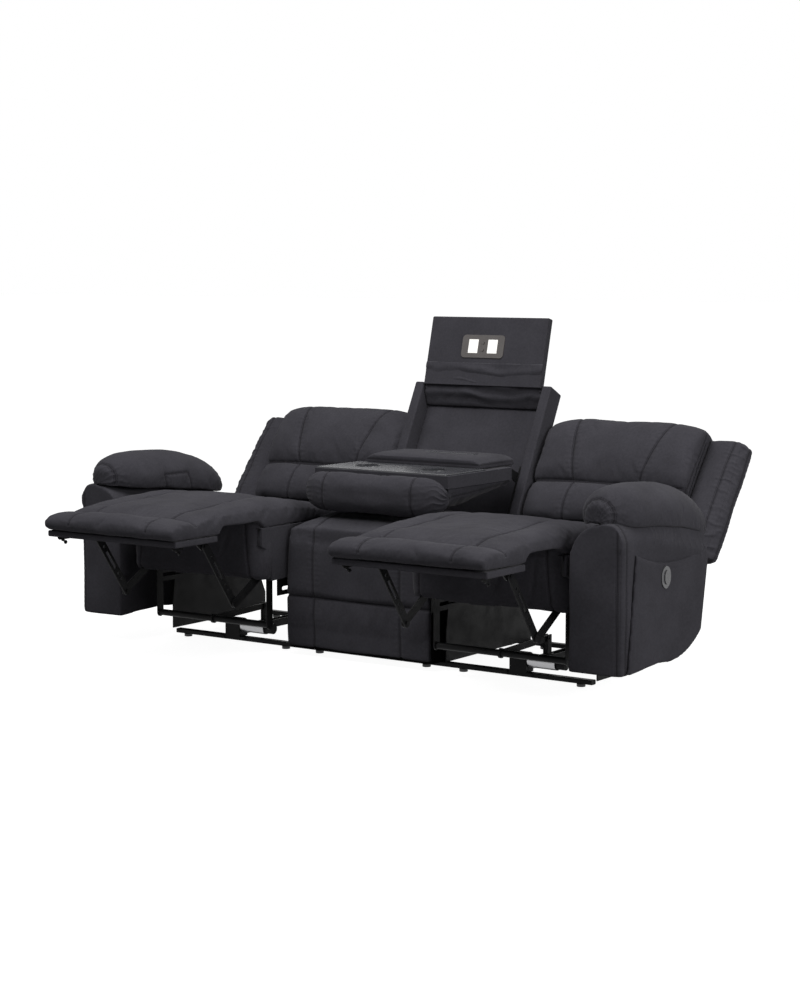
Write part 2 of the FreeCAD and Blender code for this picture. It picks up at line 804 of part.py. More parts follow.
def recline_actuators():
    """Channel, gearbox and motor of each seat, between the front and rear floor rails."""
    solids = []
    half = channel_width / 2
    motor_z = rail_top + gearbox_height / 2 + 6.0
    for middle in (-seat_middle, seat_middle):
        bar = block(middle - half, middle + half, gearbox_depth / 2, channel_rear,
                    channel_bottom, channel_bottom + channel_height)
        inside = half - channel_wall
        groove = block(middle - inside, middle + inside, gearbox_depth / 2 - 1.0, channel_rear + 1.0,
                       channel_bottom + channel_wall, channel_bottom + channel_height + 1.0)
        foot = block(middle - 10.0, middle + 10.0, channel_rear - 6.0, rail_spacing + 8.0, rail_top,
                     channel_bottom)
        solids.append(joined([bar.cut(groove), foot]))
        box = block(middle - gearbox_width / 2, middle + gearbox_width / 2, -gearbox_depth / 2,
                    gearbox_depth / 2, rail_top, rail_top + gearbox_height)
        solids.append(box.makeFillet(10.0, [e for e in box.Edges if e.BoundBox.ZMin > rail_top + 1.0]))
        start = middle + gearbox_width / 2
        body = rod_x(start, start + motor_length, 0.0, motor_z, motor_radius)
        cap = rod_x(start + motor_length, start + motor_length + motor_cap, 0.0, motor_z, motor_radius - 3.0)
        solids += [body, cap]
    return Part.makeCompound(solids)


def carriage():
    """The nut that runs in the channel, with the ears that the push link turns between."""
    half = channel_width / 2 - channel_wall - 0.5
    nut = block(seat_middle - half, seat_middle + half, carriage_start - carriage_length / 2,
                carriage_start + carriage_length / 2, channel_bottom + channel_wall + 0.3,
                channel_bottom + channel_height + carriage_rise)
    low = channel_bottom + channel_height + carriage_rise
    solids = [nut]
    for step in (-1, 1):
        inner = push_link_thickness / 2 + ear_gap
        outer = inner + ear_thickness
        boss = inner - ear_gap + boss_gap
        x0, x1 = sorted((seat_middle + step * inner, seat_middle + step * outer))
        solids.append(block(x0, x1, carriage_start - 12.0, carriage_start + 12.0, low - 1.0,
                            carriage_z + 12.0))
        x0, x1 = sorted((seat_middle + step * boss, seat_middle + step * (outer + 2.0)))
        solids.append(rod_x(x0, x1, carriage_start, carriage_z, carriage_stud))
    return joined(solids)


def push_link():
    z = anchor_z - tube_drop
    half = push_link_thickness / 2
    low = seat_middle - half
    high = seat_middle + half
    body = link(anchor_y, z, carriage_start, carriage_z, push_link_width, low, high)
    body = body.fuse(rod_x(low, high, anchor_y, z, push_link_eye))
    body = body.cut(rod_x(low - 1.0, high + 1.0, anchor_y, z, tube_radius + stud_play))
    hole = rod_x(low - 1.0, high + 1.0, carriage_start, carriage_z, carriage_stud + open_stud_play)
    return body.cut(hole).removeSplitter()


# Middle back

def on_posts(up, back):
    """The (y, z) of a point given along the posts from seat height and behind their front."""
    lean = math.radians(post_lean)
    return (post_y + up * math.sin(lean) + back * math.cos(lean),
            post_z + up * math.cos(lean) - back * math.sin(lean))


def middle_posts():
    rear_foot = on_posts(0.0, post_depth)
    path = [(post_y, post_z), on_posts(post_length, 0.0), on_posts(post_length, post_depth), rear_foot,
            (rear_foot[0], rail_top), (post_y, rail_top)]
    return both_sides(side_plate(path, post_inner, post_outer))


def middle_back_panel():
    path = [on_posts(-120.0, recess_depth), on_posts(post_length, recess_depth),
            on_posts(post_length, post_depth), on_posts(-120.0, post_depth)]
    return side_plate(path, -post_inner, post_inner)


def console_runners():
    """Grooved channels on the posts' inner faces that the console's hinge plates run in."""
    low = -40.0
    high = hinge_up + 40.0
    path = [on_posts(low, 2.0), on_posts(high, 2.0), on_posts(high, 2.0 + runner_width),
            on_posts(low, 2.0 + runner_width)]
    groove_low = 2.0 + (runner_width - runner_groove) / 2
    groove_high = groove_low + runner_groove
    groove = [on_posts(low - 1.0, groove_low), on_posts(high + 1.0, groove_low),
              on_posts(high + 1.0, groove_high), on_posts(low - 1.0, groove_high)]
    body = side_plate(path, post_inner - runner_depth, post_inner)
    return both_sides(body.cut(side_plate(groove, post_inner - runner_depth - 1.0,
                                          post_inner - runner_depth + 3.0)))


def hinge_on_posts():
    lean = math.radians(post_lean)
    dy = hinge_y - post_y
    dz = hinge_z - post_z
    return (dy * math.sin(lean) + dz * math.cos(lean), dy * math.cos(lean) - dz * math.sin(lean))


hinge_up, hinge_back = hinge_on_posts()


def hinge_plates():
    """Plates with a sliding block at the rear and the console's hinge pin at the front."""
    outer = post_inner - hinge_plate_inset
    inner = outer - plate
    block_low = 2.0 + (runner_width - runner_groove) / 2 + guide_play
    block_high = block_low + runner_groove - 2 * guide_play
    path = [on_posts(hinge_up - 14.0, hinge_back), on_posts(hinge_up - 18.0, block_low),
            on_posts(hinge_up - 18.0, block_high), on_posts(hinge_up + 18.0, block_high),
            on_posts(hinge_up + 18.0, block_low), on_posts(hinge_up + 14.0, hinge_back)]
    path.append((on_posts(hinge_up, hinge_back - 14.0), on_posts(hinge_up - 14.0, hinge_back)))
    body = side_plate(path, inner, outer)
    slider = [on_posts(hinge_up - 18.0, block_low), on_posts(hinge_up - 18.0, block_high),
              on_posts(hinge_up + 18.0, block_high), on_posts(hinge_up + 18.0, block_low)]
    body = body.fuse(side_plate(slider, outer, post_inner - runner_depth + 2.6))
    body = body.fuse(rod_x(core_half_width - 14.0, outer, hinge_y, hinge_z, hinge_pin))
    return both_sides(body.removeSplitter())


# Console, drawn folded down

def cup_places():
    return [side * cup_x for side in (-1, 1)]


def console_deck():
    """The console's box: cup wells in front, the storage box behind them."""
    body = block(-console_half_width, console_half_width, console_front, console_rear,
                 console_bottom, console_top)
    for side in (-1, 1):
        x0, x1 = sorted((side * core_half_width, side * (console_half_width + 1.0)))
        body = body.cut(block(x0, x1, notch_front, console_rear + 1.0, console_bottom - 1.0,
                              console_top + 1.0))
        pin0, pin1 = sorted((side * (core_half_width - 16.0), side * (core_half_width + 1.0)))
        body = body.cut(rod_x(pin0, pin1, hinge_y, hinge_z, hinge_pin + stud_play))
    for x in cup_places():
        body = body.cut(Part.makeCylinder(cup_radius + cup_wall + cup_play, 200.0,
                                          Vector(x, cup_y, console_bottom - 20.0)))
    return body.cut(block(-box_half_width, box_half_width, box_front, box_rear,
                          console_bottom + box_floor, console_top + 1.0))


def console_tray():
    """The moulded tray, with its two cup wells."""
    top = console_top + tray_thickness
    cup_depth = top - console_bottom
    body = block(-tray_half_width, tray_half_width, console_front + 3.0, tray_rear, console_top, top)
    body = body.makeFillet(2.0, [e for e in body.Edges if e.BoundBox.ZMin > console_top + 1.0])
    for x in cup_places():
        cup = Part.makeCylinder(cup_radius + cup_wall, cup_depth, Vector(x, cup_y, top - cup_depth))
        rim = Part.makeCylinder(cup_radius + cup_wall + 3.0, 1.6, Vector(x, cup_y, top))
        well = Part.makeCylinder(cup_radius, cup_depth + 10.0, Vector(x, cup_y, top - cup_depth + cup_wall))
        body = body.fuse(cup).fuse(rim).cut(well)
    return body.removeSplitter()


def console_roll():
    """The padded roll along the console's front edge, gathered in at both ends."""
    stations = [(-1.0, 0.55), (-0.93, 0.86), (-0.75, 0.98), (0.0, 1.0),
                (0.75, 0.98), (0.93, 0.86), (1.0, 0.55)]
    wires = []
    for share, size in stations:
        x = share * roll_half_width

        def at(a, b, x=x):
            return Vector(x, roll_y + a, roll_z + b)

        wires.append(ring(at, roll_depth * size, roll_height * size))
    body = Part.makeLoft(wires, True, False)
    return body.cut(block(-seat_width, seat_width, console_front - soft_gap, hinge_y, 0.0, 2 * hinge_z))


def console_pad():
    """The soft underside of the console, which is the middle seat's back when folded up."""
    front = console_front + pad_front_play
    length = hinge_y - 20.0 - front
    rows = pad_rows(0.0, 2 * console_half_width, 0.55, 1.0, 0.12, (), 0.0, 40.0, 4.0)

    def at(x, a, b):
        share = a / length
        thickness = pad_front_thickness + (pad_rear_thickness - pad_front_thickness) * share
        return Vector(x, front + a, console_bottom - 0.3 - b * thickness)

    wires = []
    for across, full, inset in rows:
        low = inset
        high = length - inset
        wires.append(outline_wire([(low, 0.0), (high, 0.0), (high, 0.8 * full),
                                   ((length / 2, full), (low, full))],
                                  lambda a, b, across=across: at(across, a, b)))
    return Part.makeLoft(wires, True, False)


def strip_block(play, low, high):
    """The strip's outline with some play round it, between two heights."""
    middle = (lid_front + lid_rear) / 2
    half_length = strip_half_length + play
    half_width = strip_width / 2 + play
    return block(strip_x - half_length, strip_x + half_length, middle - half_width,
                 middle + half_width, low, high)


def storage_lid():
    """The padded lid of the storage box, with a shallow groove for its strip."""
    length = lid_rear - lid_front
    rows = pad_rows(0.0, 2 * lid_half_width, 20.0, lid_thickness, lid_crown, (), 0.0, 24.0, 2.0)
    body = padded(rows, length, 6.0, 6.0, lambda x, a, b: Vector(x, lid_front + a, lid_bottom + b))
    return body.cut(strip_block(soft_gap, strip_bottom - soft_gap, strip_bottom + lid_thickness))


def lid_strip():
    """The glossy strip let into the lid's top."""
    top = strip_bottom + strip_thickness
    body = strip_block(0.0, strip_bottom, top)
    return body.makeFillet(strip_proud, [e for e in body.Edges if e.BoundBox.ZMin > top - 0.1])


# Lamp flap, drawn upright about its pivot and then leaned

def on_flap(shape):
    y, z = on_posts(flap_pivot_up, flap_pivot_in)
    return leaned(shape, flap_lean, y, z)


def flap_front():
    return -flap_thickness + 0.5


def flap_panel():
    """The upholstered flap, with the lugs that its pivot pins pass through."""
    front = flap_front()
    body = block(-flap_half_width, flap_half_width, front, 0.5, flap_low, flap_high)
    body = body.makeFillet(5.0, [e for e in body.Edges if e.BoundBox.ZMin > flap_low + 1.0])
    pieces = [body]
    for side in (-1, 1):
        x0, x1 = sorted((side * (flap_half_width - 8.0), side * (flap_half_width - 2.0)))
        pieces.append(link(-6.0, 0.0, -6.0, flap_low + 10.0, 13.0, x0, x1))
    body = joined(pieces)
    return on_flap(body.cut(rod_x(-post_inner, post_inner, 0.0, 0.0, flap_pin + stud_play)))


def lamp_places():
    return [lamp_x + side * lamp_spacing / 2 for side in (-1, 1)]


def lamp_plate():
    front = flap_front()
    body = block(lamp_x - lamp_plate_width / 2, lamp_x + lamp_plate_width / 2,
                 front - lamp_plate_thickness, front, lamp_up - lamp_plate_height / 2,
                 lamp_up + lamp_plate_height / 2)
    body = body.makeFillet(14.0, [e for e in body.Edges
                                  if abs(e.BoundBox.YMax - e.BoundBox.YMin - lamp_plate_thickness) < 0.1])
    for x in lamp_places():
        body = body.cut(block(x - lamp_width / 2, x + lamp_width / 2, front - lamp_plate_thickness - 1.0,
                              front - 1.0, lamp_up - lamp_height / 2, lamp_up + lamp_height / 2))
    for up in lamp_switch_places():
        body = body.cut(Part.makeCylinder(lamp_switch_radius + 0.3, lamp_plate_thickness,
                                          Vector(lamp_x, front - 0.4, up), Vector(0, -1, 0)))
    return on_flap(body)


def lamp_switch_places():
    return [lamp_up - lamp_switch_spacing / 2, lamp_up + lamp_switch_spacing / 2]


def lamp_lenses():
    front = flap_front()
    solids = []
    for x in lamp_places():
        lens = block(x - lamp_width / 2 + 0.3, x + lamp_width / 2 - 0.3, front - lamp_plate_thickness - 0.6,
                     front - 1.0, lamp_up - lamp_height / 2 + 0.3, lamp_up + lamp_height / 2 - 0.3)
        solids.append(on_flap(lens.makeFillet(1.0, [e for e in lens.Edges
                                                   if e.BoundBox.YMax < front - lamp_plate_thickness])))
    return Part.makeCompound(solids)


def lamp_switch(up):
    front = flap_front()
    start = front - 0.7 - 1.2
    return on_flap(Part.makeCylinder(lamp_switch_radius, lamp_plate_thickness + lamp_switch_rise - 1.9,
                                     Vector(lamp_x, start, up), Vector(0, -1, 0)))


nodes = {
    "floor_rails": floor_rails(),
    "floor_feet": floor_feet(),
    "fasteners": fasteners(),
    "base_plates": base_plates(),
    "switch_bezels": switch_plate_pair(),
    "middle_seat_box": middle_box(),
    "middle_front_panel": middle_front_panel(),
    "middle_seat_cushion": middle_cushion(),
    "middle_posts": middle_posts(),
    "middle_back_panel": middle_back_panel(),
    "console_runners": console_runners(),
    "recline_actuators": recline_actuators(),
    "console_hinge_plates": hinge_plates(),
    "console_deck": console_deck(),
    "console_tray": console_tray(),
    "console_roll": console_roll(),
    "console_pad": console_pad(),
    "storage_lid": storage_lid(),
    "lid_strip": lid_strip(),
    "lamp_flap": flap_panel(),
    "lamp_plate": lamp_plate(),
    "lamp_lenses": lamp_lenses(),
    "lower_lamp_switch": lamp_switch(lamp_switch_places()[0]),
    "upper_lamp_switch": lamp_switch(lamp_switch_places()[1]),
}

handed = {
    "arm_shell": arm_shell(),
    "arm_side_panel": arm_side_panel(),
    "arm_pillow": arm_pillow(),
    "recline_rocker": recline_rocker(),
    "seat_frame": seat_frame(),
    "seat_rails": seat_rails(),
    "seat_cushion": seat_cushion(),
    "drive_frame": drive_frame(),
    "upper_links": upper_links(),
    "footrest_board": footrest_board(),
    "footrest_brackets": footrest_brackets(),
    "footrest_pad": footrest_pad(),
    "back_shell": back_shell(),
    "back_brackets": back_brackets(),
    "back_cushion": back_cushion(),
    "back_wing": back_wing(),
    "carriage": carriage(),
    "push_link": push_link(),
}
for name, shape in handed.items():
    nodes["right_" + name] = shape
    nodes["left_" + name] = mirrored(shape)

for name, shape in nodes.items():
    placed = shape.copy()
    placed.translate(Vector(0, -middle_of_depth, 0))
    placed.exportStep("parts/" + name + ".step")
    box = placed.BoundBox
    print(name, len(placed.Solids), placed.isValid(), round(placed.Volume / 1000.0, 1),
          [round(v) for v in (box.XMin, box.XMax, box.YMin, box.YMax, box.ZMin, box.ZMax)])
print(len(nodes), "nodes")
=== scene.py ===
# %% [markdown]
# A three-seat sofa in soft black upholstery. The end seats are reclined with their
# footrests out, and the middle back is folded down into a console with cup wells.
# The steel linkage is already solid and to size, so this lesson dresses it: every
# cushion, cover and finish is made here, in metres, in the same frame.

# %% Load the sofa's solid parts
import math

import bmesh
import bpy
import numpy as np
from mathutils import Matrix, Vector


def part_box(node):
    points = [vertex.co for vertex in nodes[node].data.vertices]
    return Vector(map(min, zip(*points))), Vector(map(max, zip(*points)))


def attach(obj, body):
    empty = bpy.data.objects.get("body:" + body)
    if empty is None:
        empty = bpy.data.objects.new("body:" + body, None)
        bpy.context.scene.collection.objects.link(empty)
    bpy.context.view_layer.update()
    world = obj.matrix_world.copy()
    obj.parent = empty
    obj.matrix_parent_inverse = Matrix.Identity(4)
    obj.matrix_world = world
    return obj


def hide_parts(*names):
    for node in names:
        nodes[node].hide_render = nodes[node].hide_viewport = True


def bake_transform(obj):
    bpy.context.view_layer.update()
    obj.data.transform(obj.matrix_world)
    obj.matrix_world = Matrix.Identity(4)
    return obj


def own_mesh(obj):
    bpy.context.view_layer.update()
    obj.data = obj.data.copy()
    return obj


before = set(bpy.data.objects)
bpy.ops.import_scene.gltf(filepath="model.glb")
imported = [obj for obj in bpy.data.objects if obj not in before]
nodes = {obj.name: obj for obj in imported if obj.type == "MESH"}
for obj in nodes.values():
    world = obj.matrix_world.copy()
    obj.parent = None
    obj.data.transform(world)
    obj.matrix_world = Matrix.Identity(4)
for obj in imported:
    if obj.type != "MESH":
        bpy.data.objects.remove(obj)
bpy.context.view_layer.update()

# %% [markdown]
# The camera stands in front of the right arm, a little above the back, with a long
# lens. The floor is pale and the light comes from wide soft boxes, so that black
# cloth still shows its folds.

# %% Camera
camera_place = Vector((4.1293, -5.7909, 1.3028))
camera_turn = 35.03
camera_down = 6.23
lens_length = 77.83

camera_data = bpy.data.cameras.new("camera")
camera_data.lens = lens_length
camera_data.sensor_width = 36.0
camera = bpy.data.objects.new("camera", camera_data)
camera.location = camera_place
camera.rotation_euler = (math.radians(90.0 - camera_down), 0.0, math.radians(camera_turn))
bpy.context.scene.collection.objects.link(camera)
bpy.context.scene.camera = camera
bpy.context.scene.view_settings.view_transform = "Standard"


# %% [markdown]
# A finish is a small tree of shader nodes. A few helpers add a node, a noise that is
# fixed to the piece, a change of range and a bump, so each finish reads in a few lines.

# %% Nodes in a material
def add_node(tree, kind, **settings):
    """A shader node with some of its properties or input sockets set."""
    node = tree.nodes.new(kind)
    for name, value in settings.items():
        if name in node.inputs.keys():
            node.inputs[name].default_value = value
        else:
            setattr(node, name, value)
    return node


def new_material(name, base, roughness, metallic=0.0):
    material = bpy.data.materials.new(name)
    material.use_nodes = True
    shader = material.node_tree.nodes["Principled BSDF"]
    shader.inputs["Base Color"].default_value = (*base, 1.0)
    shader.inputs["Roughness"].default_value = roughness
    shader.inputs["Metallic"].default_value = metallic
    return material, material.node_tree, shader


def noise_at(tree, scale, detail=3.0, stretch=(1.0, 1.0, 1.0)):
    """A noise pattern fixed to the piece, with this many cells in a metre."""
    place = add_node(tree, "ShaderNodeTexCoord")
    mapping = add_node(tree, "ShaderNodeMapping")
    mapping.inputs["Scale"].default_value = stretch
    pattern = add_node(tree, "ShaderNodeTexNoise", Scale=scale, Detail=detail)
    tree.links.new(place.outputs["Object"], mapping.inputs["Vector"])
    tree.links.new(mapping.outputs["Vector"], pattern.inputs["Vector"])
    return pattern.outputs["Fac"]


def remap(tree, value, low, high, to_low, to_high):
    node = add_node(tree, "ShaderNodeMapRange")
    tree.links.new(value, node.inputs["Value"])
    for name, number in (("From Min", low), ("From Max", high), ("To Min", to_low), ("To Max", to_high)):
        node.inputs[name].default_value = number
    return node.outputs["Result"]


def mix_colour(tree, factor, first, second):
    node = add_node(tree, "ShaderNodeMix", data_type="RGBA")
    node.inputs["Factor"].default_value = 0.5
    tree.links.new(factor, node.inputs["Factor"])
    for socket, colour in ((node.inputs[6], first), (node.inputs[7], second)):
        if isinstance(colour, tuple):
            socket.default_value = (*colour, 1.0)
        else:
            tree.links.new(colour, socket)
    return node.outputs[2]


def add_bump(tree, shader, height, depth):
    """Raise the surface by up to this depth, in metres, where height is 1."""
    node = add_node(tree, "ShaderNodeBump")
    node.inputs["Strength"].default_value = 1.0
    node.inputs["Distance"].default_value = depth
    tree.links.new(height, node.inputs["Height"])
    tree.links.new(node.outputs["Normal"], shader.inputs["Normal"])


def vary(tree, shader, pattern, dark, light, smooth=None, rough=None):
    """Let a pattern change the shader's colour and, if given, its roughness."""
    tree.links.new(mix_colour(tree, pattern, dark, light), shader.inputs["Base Color"])
    if smooth is not None:
        tree.links.new(remap(tree, pattern, 0.3, 0.7, smooth, rough), shader.inputs["Roughness"])


def calculate(tree, operation, first, second=None, third=None):
    node = add_node(tree, "ShaderNodeMath", operation=operation)
    for socket, value in zip(node.inputs, (first, second, third)):
        if value is None:
            continue
        if isinstance(value, (int, float)):
            socket.default_value = value
        else:
            tree.links.new(value, socket)
    return node.outputs["Value"]


# %% [markdown]
# The cover is a soft brushed cloth with a leather look: a fine pebbled grain, slightly
# uneven in tone, with a weak sheen that lightens the surfaces seen at a low angle. It
# has no mirror reflection, because a white studio would veil black cloth with it.
# Sewn pieces carry an attribute that says how far each point is across and along its
# nearest seam, in metres. The finish draws the dark joint and the stitches from it.

# %% Upholstery
cover_dark = (0.0450, 0.0435, 0.0505)
cover_light = (0.0620, 0.0600, 0.0700)
thread_colour = (0.020, 0.019, 0.022)
stitch_length = 0.005
stitch_offset = 0.0045
stitch_half_width = 0.0006
stitch_share = 0.72
joint_core = 0.0006
joint_half_width = 0.0035
grain_depth = 0.00022


def upholstery(name, dark, light, sewn=True):
    material, tree, shader = new_material(name, dark, 0.6)
    shader.inputs["Sheen Weight"].default_value = 0.08
    shader.inputs["Sheen Roughness"].default_value = 0.45
    shader.inputs["Specular IOR Level"].default_value = 0.0
    clouds = noise_at(tree, 9.0, 4.0)
    mottle = noise_at(tree, 130.0, 4.0)
    pebbles = noise_at(tree, 1100.0, 2.0)
    tone = calculate(tree, "MULTIPLY_ADD", mottle, 0.45, calculate(tree, "MULTIPLY", clouds, 0.55))
    colour = mix_colour(tree, remap(tree, tone, 0.32, 0.68, 0.0, 1.0), dark, light)
    height = calculate(tree, "MULTIPLY_ADD", mottle, 0.35, pebbles)
    if sewn:
        seam = add_node(tree, "ShaderNodeAttribute", attribute_name="seam")
        parts = add_node(tree, "ShaderNodeSeparateXYZ")
        tree.links.new(seam.outputs["Vector"], parts.inputs["Vector"])
        across = calculate(tree, "ABSOLUTE", parts.outputs["X"])
        joint = remap(tree, across, joint_core, joint_half_width, 1.0, 0.0)
        off_line = calculate(tree, "ABSOLUTE", calculate(tree, "SUBTRACT", across, stitch_offset))
        band = calculate(tree, "LESS_THAN", off_line, stitch_half_width)
        step = calculate(tree, "FRACT", calculate(tree, "DIVIDE", parts.outputs["Y"], stitch_length))
        stitch = calculate(tree, "MULTIPLY", band, calculate(tree, "LESS_THAN", step, stitch_share))
        marks = calculate(tree, "MAXIMUM", calculate(tree, "MULTIPLY", joint, 0.75), stitch)
        colour = mix_colour(tree, marks, colour, thread_colour)
        height = calculate(tree, "SUBTRACT", height, calculate(tree, "MULTIPLY", marks, 1.6))
    tree.links.new(colour, shader.inputs["Base Color"])
    tree.links.new(remap(tree, mottle, 0.3, 0.7, 0.52, 0.66), shader.inputs["Roughness"])
    add_bump(tree, shader, height, grain_depth)
    return material


cover = upholstery("black_cover", cover_dark, cover_light)
plain_cover = upholstery("black_cover_plain", cover_dark, cover_light, sewn=False)

# %% [markdown]
# The linkage is powder-coated steel, a little uneven in gloss, and a motor's can is
# bare drawn steel with fine lines round it.

# %% Steel
def shades(colour, dark, light):
    """A darker and a lighter shade of one colour."""
    return tuple(dark * c for c in colour), tuple(light * c for c in colour)


def painted_steel(name, colour, roughness):
    material, tree, shader = new_material(name, colour, roughness)
    shader.inputs["Specular IOR Level"].default_value = 0.08
    speckle = noise_at(tree, 700.0, 3.0)
    patches = noise_at(tree, 22.0, 4.0)
    vary(tree, shader, patches, *shades(colour, 0.7, 1.5), roughness - 0.08, roughness + 0.14)
    add_bump(tree, shader, speckle, 0.00012)
    return material


def bare_steel(name, colour, roughness, stretch):
    material, tree, shader = new_material(name, colour, roughness, metallic=1.0)
    lines = noise_at(tree, 260.0, 4.0, stretch)
    vary(tree, shader, lines, *shades(colour, 0.8, 1.0), roughness - 0.07, roughness + 0.12)
    add_bump(tree, shader, lines, 0.00006)
    return material

# %% [markdown]
# The tray, switches, feet and lamp are moulded plastic, some glossy and some with a
# fine grain. The lamp's diffuser is milky and glows a little. The middle box is lined
# with a thin non-woven cloth.

# %% Plastics, lamp and lining
def moulded(name, colour, roughness, grain, coat=0.0, patchy=0.05):
    """Moulded plastic. A smooth, glossy one has no grain and is hardly patchy."""
    material, tree, shader = new_material(name, colour, roughness)
    shader.inputs["Coat Weight"].default_value = coat
    shader.inputs["Coat Roughness"].default_value = 0.06
    texture = noise_at(tree, 850.0, 2.0)
    haze = noise_at(tree, 14.0, 4.0)
    vary(tree, shader, haze, *shades(colour, 0.85, 1.0), roughness - patchy, roughness + patchy)
    if grain > 0.0:
        add_bump(tree, shader, texture, grain)
    return material


def dust_cloth(name, colour):
    """A thin non-woven cloth: short crossed fibres."""
    material, tree, shader = new_material(name, colour, 0.9)
    shader.inputs["Specular IOR Level"].default_value = 0.0
    first = noise_at(tree, 420.0, 3.0, (1.0, 0.12, 1.0))
    second = noise_at(tree, 420.0, 3.0, (0.12, 1.0, 0.3))
    fibres = calculate(tree, "MAXIMUM", first, second)
    vary(tree, shader, fibres, *shades(colour, 0.6, 1.4))
    add_bump(tree, shader, fibres, 0.0002)
    return material


def diffuser(name):
    """A milky lamp cover that glows a little."""
    material, tree, shader = new_material(name, (0.93, 0.92, 0.88), 0.35)
    frost = noise_at(tree, 500.0, 2.0)
    vary(tree, shader, frost, (0.90, 0.89, 0.86), (0.96, 0.95, 0.92))
    shader.inputs["Emission Color"].default_value = (1.0, 0.98, 0.94, 1.0)
    shader.inputs["Emission Strength"].default_value = 0.35
    add_bump(tree, shader, frost, 0.00005)
    return material

# %% [markdown]
# Each finish is made once here and shared by all the pieces that have it.

# %% The finishes
black_steel = painted_steel("black_steel", (0.0090, 0.0090, 0.0095), 0.46)
motor_can = bare_steel("motor_can", (0.42, 0.42, 0.43), 0.34, (0.05, 1.0, 1.0))
black_plastic = moulded("black_plastic", (0.014, 0.014, 0.015), 0.45, 0.00012)
tray_gloss = moulded("tray_gloss", (0.055, 0.056, 0.062), 0.26, 0.0, coat=0.3, patchy=0.006)
switch_satin = moulded("switch_satin", (0.050, 0.050, 0.054), 0.30, 0.00005)
switch_ring = moulded("switch_ring", (0.075, 0.075, 0.080), 0.40, 0.00003)
lamp_frame = moulded("lamp_frame", (0.085, 0.076, 0.073), 0.34, 0.00006)
lamp_diffuser = diffuser("lamp_diffuser")
lining = dust_cloth("lining", (0.012, 0.012, 0.012))

# %% [markdown]
# The solid parts that stay visible only need a finish. A solid's mesh is never
# touched, so its material slots are filled again.

# %% Finish the solid parts that show
def finish_solid(name, material):
    mesh = nodes[name].data
    mesh.materials.clear()
    mesh.materials.append(material)


sides = ("left", "right")
steel_nodes = ["floor_rails", "base_plates", "fasteners", "console_runners", "console_hinge_plates"]
steel_nodes += [side + "_" + name for side in sides for name in
                ("seat_rails", "drive_frame", "upper_links", "footrest_brackets", "back_brackets", "carriage",
                 "push_link")]
for name in steel_nodes:
    finish_solid(name, black_steel)
finish_solid("floor_feet", black_plastic)
finish_solid("recline_actuators", black_steel)
finish_solid("switch_bezels", switch_ring)
finish_solid("console_tray", tray_gloss)
finish_solid("lid_strip", tray_gloss)
finish_solid("lamp_plate", lamp_frame)
finish_solid("lamp_lenses", lamp_diffuser)
finish_solid("middle_seat_box", lining)
for name in ("lower_lamp_switch", "upper_lamp_switch"):
    finish_solid(name, lamp_frame)
for side in sides:
    finish_solid(side + "_recline_rocker", switch_satin)

# %% [markdown]
# Upholstery is made in one way throughout. A piece starts as a closed form, from the
# solid it stands for or from a side outline drawn out across the seat. It is remeshed
# evenly, puffed by air pressure as cloth with its edges held, and made finer. Then
# the seams are drawn in and the cloth is gathered and creased by moving points.

# %% Meshes in and out
def add_piece(name, bm, material):
    mesh = bpy.data.meshes.new(name)
    bm.to_mesh(mesh)
    bm.free()
    piece = bpy.data.objects.new(name, mesh)
    bpy.context.scene.collection.objects.link(piece)
    mesh.materials.append(material)
    mesh.shade_smooth()
    return piece


def points_of(piece):
    flat = np.zeros(len(piece.data.vertices) * 3)
    piece.data.vertices.foreach_get("co", flat)
    return flat.reshape(-1, 3)


def normals_of(piece):
    flat = np.zeros(len(piece.data.vertices) * 3)
    piece.data.vertices.foreach_get("normal", flat)
    return flat.reshape(-1, 3)


def set_points(piece, points):
    piece.data.vertices.foreach_set("co", points.ravel())
    piece.data.update()


def apply_modifiers(piece):
    graph = bpy.context.evaluated_depsgraph_get()
    mesh = bpy.data.meshes.new_from_object(piece.evaluated_get(graph), depsgraph=graph)
    piece.modifiers.clear()
    piece.data = mesh
    mesh.shade_smooth()


def remesh(piece, voxel):
    modifier = piece.modifiers.new("even", "REMESH")
    modifier.mode = "VOXEL"
    modifier.voxel_size = voxel
    apply_modifiers(piece)


def relax(piece, rounds):
    modifier = piece.modifiers.new("relax", "SMOOTH")
    modifier.iterations = rounds
    modifier.factor = 0.5
    apply_modifiers(piece)


def finer(piece):
    modifier = piece.modifiers.new("finer", "SUBSURF")
    modifier.levels = 1
    modifier.render_levels = 1
    apply_modifiers(piece)


def solid_form(*names):
    """A merged copy of some solid parts."""
    bm = bmesh.new()
    for name in names:
        bm.from_mesh(nodes[name].data)
    bmesh.ops.remove_doubles(bm, verts=bm.verts, dist=0.00002)
    return bm


def outline_form(outline, x0, x1):
    """A side outline of (y, z) points, drawn out from x0 to x1."""
    bm = bmesh.new()
    face = bm.faces.new([bm.verts.new((x0, y, z)) for y, z in outline])
    drawn = bmesh.ops.extrude_face_region(bm, geom=[face])["geom"]
    moved = [v for v in drawn if isinstance(v, bmesh.types.BMVert)]
    bmesh.ops.translate(bm, verts=moved, vec=(x1 - x0, 0.0, 0.0))
    bmesh.ops.recalc_face_normals(bm, faces=bm.faces)
    return bm


def mirror_piece(piece, name):
    """The same piece for the other side of the sofa."""
    mesh = piece.data.copy()
    mesh.name = name
    twin = bpy.data.objects.new(name, mesh)
    bpy.context.scene.collection.objects.link(twin)
    set_points(twin, points_of(twin) * np.array([-1.0, 1.0, 1.0]))
    mesh.flip_normals()
    return twin


# %% [markdown]
# A stuffed cushion is cloth under a little pressure. Each piece waits in a queue with
# the points that its seams and boards hold, and all are blown up in one short cloth
# simulation. No point may move farther than the piece's own cap.

# %% Air pressure
waiting = []


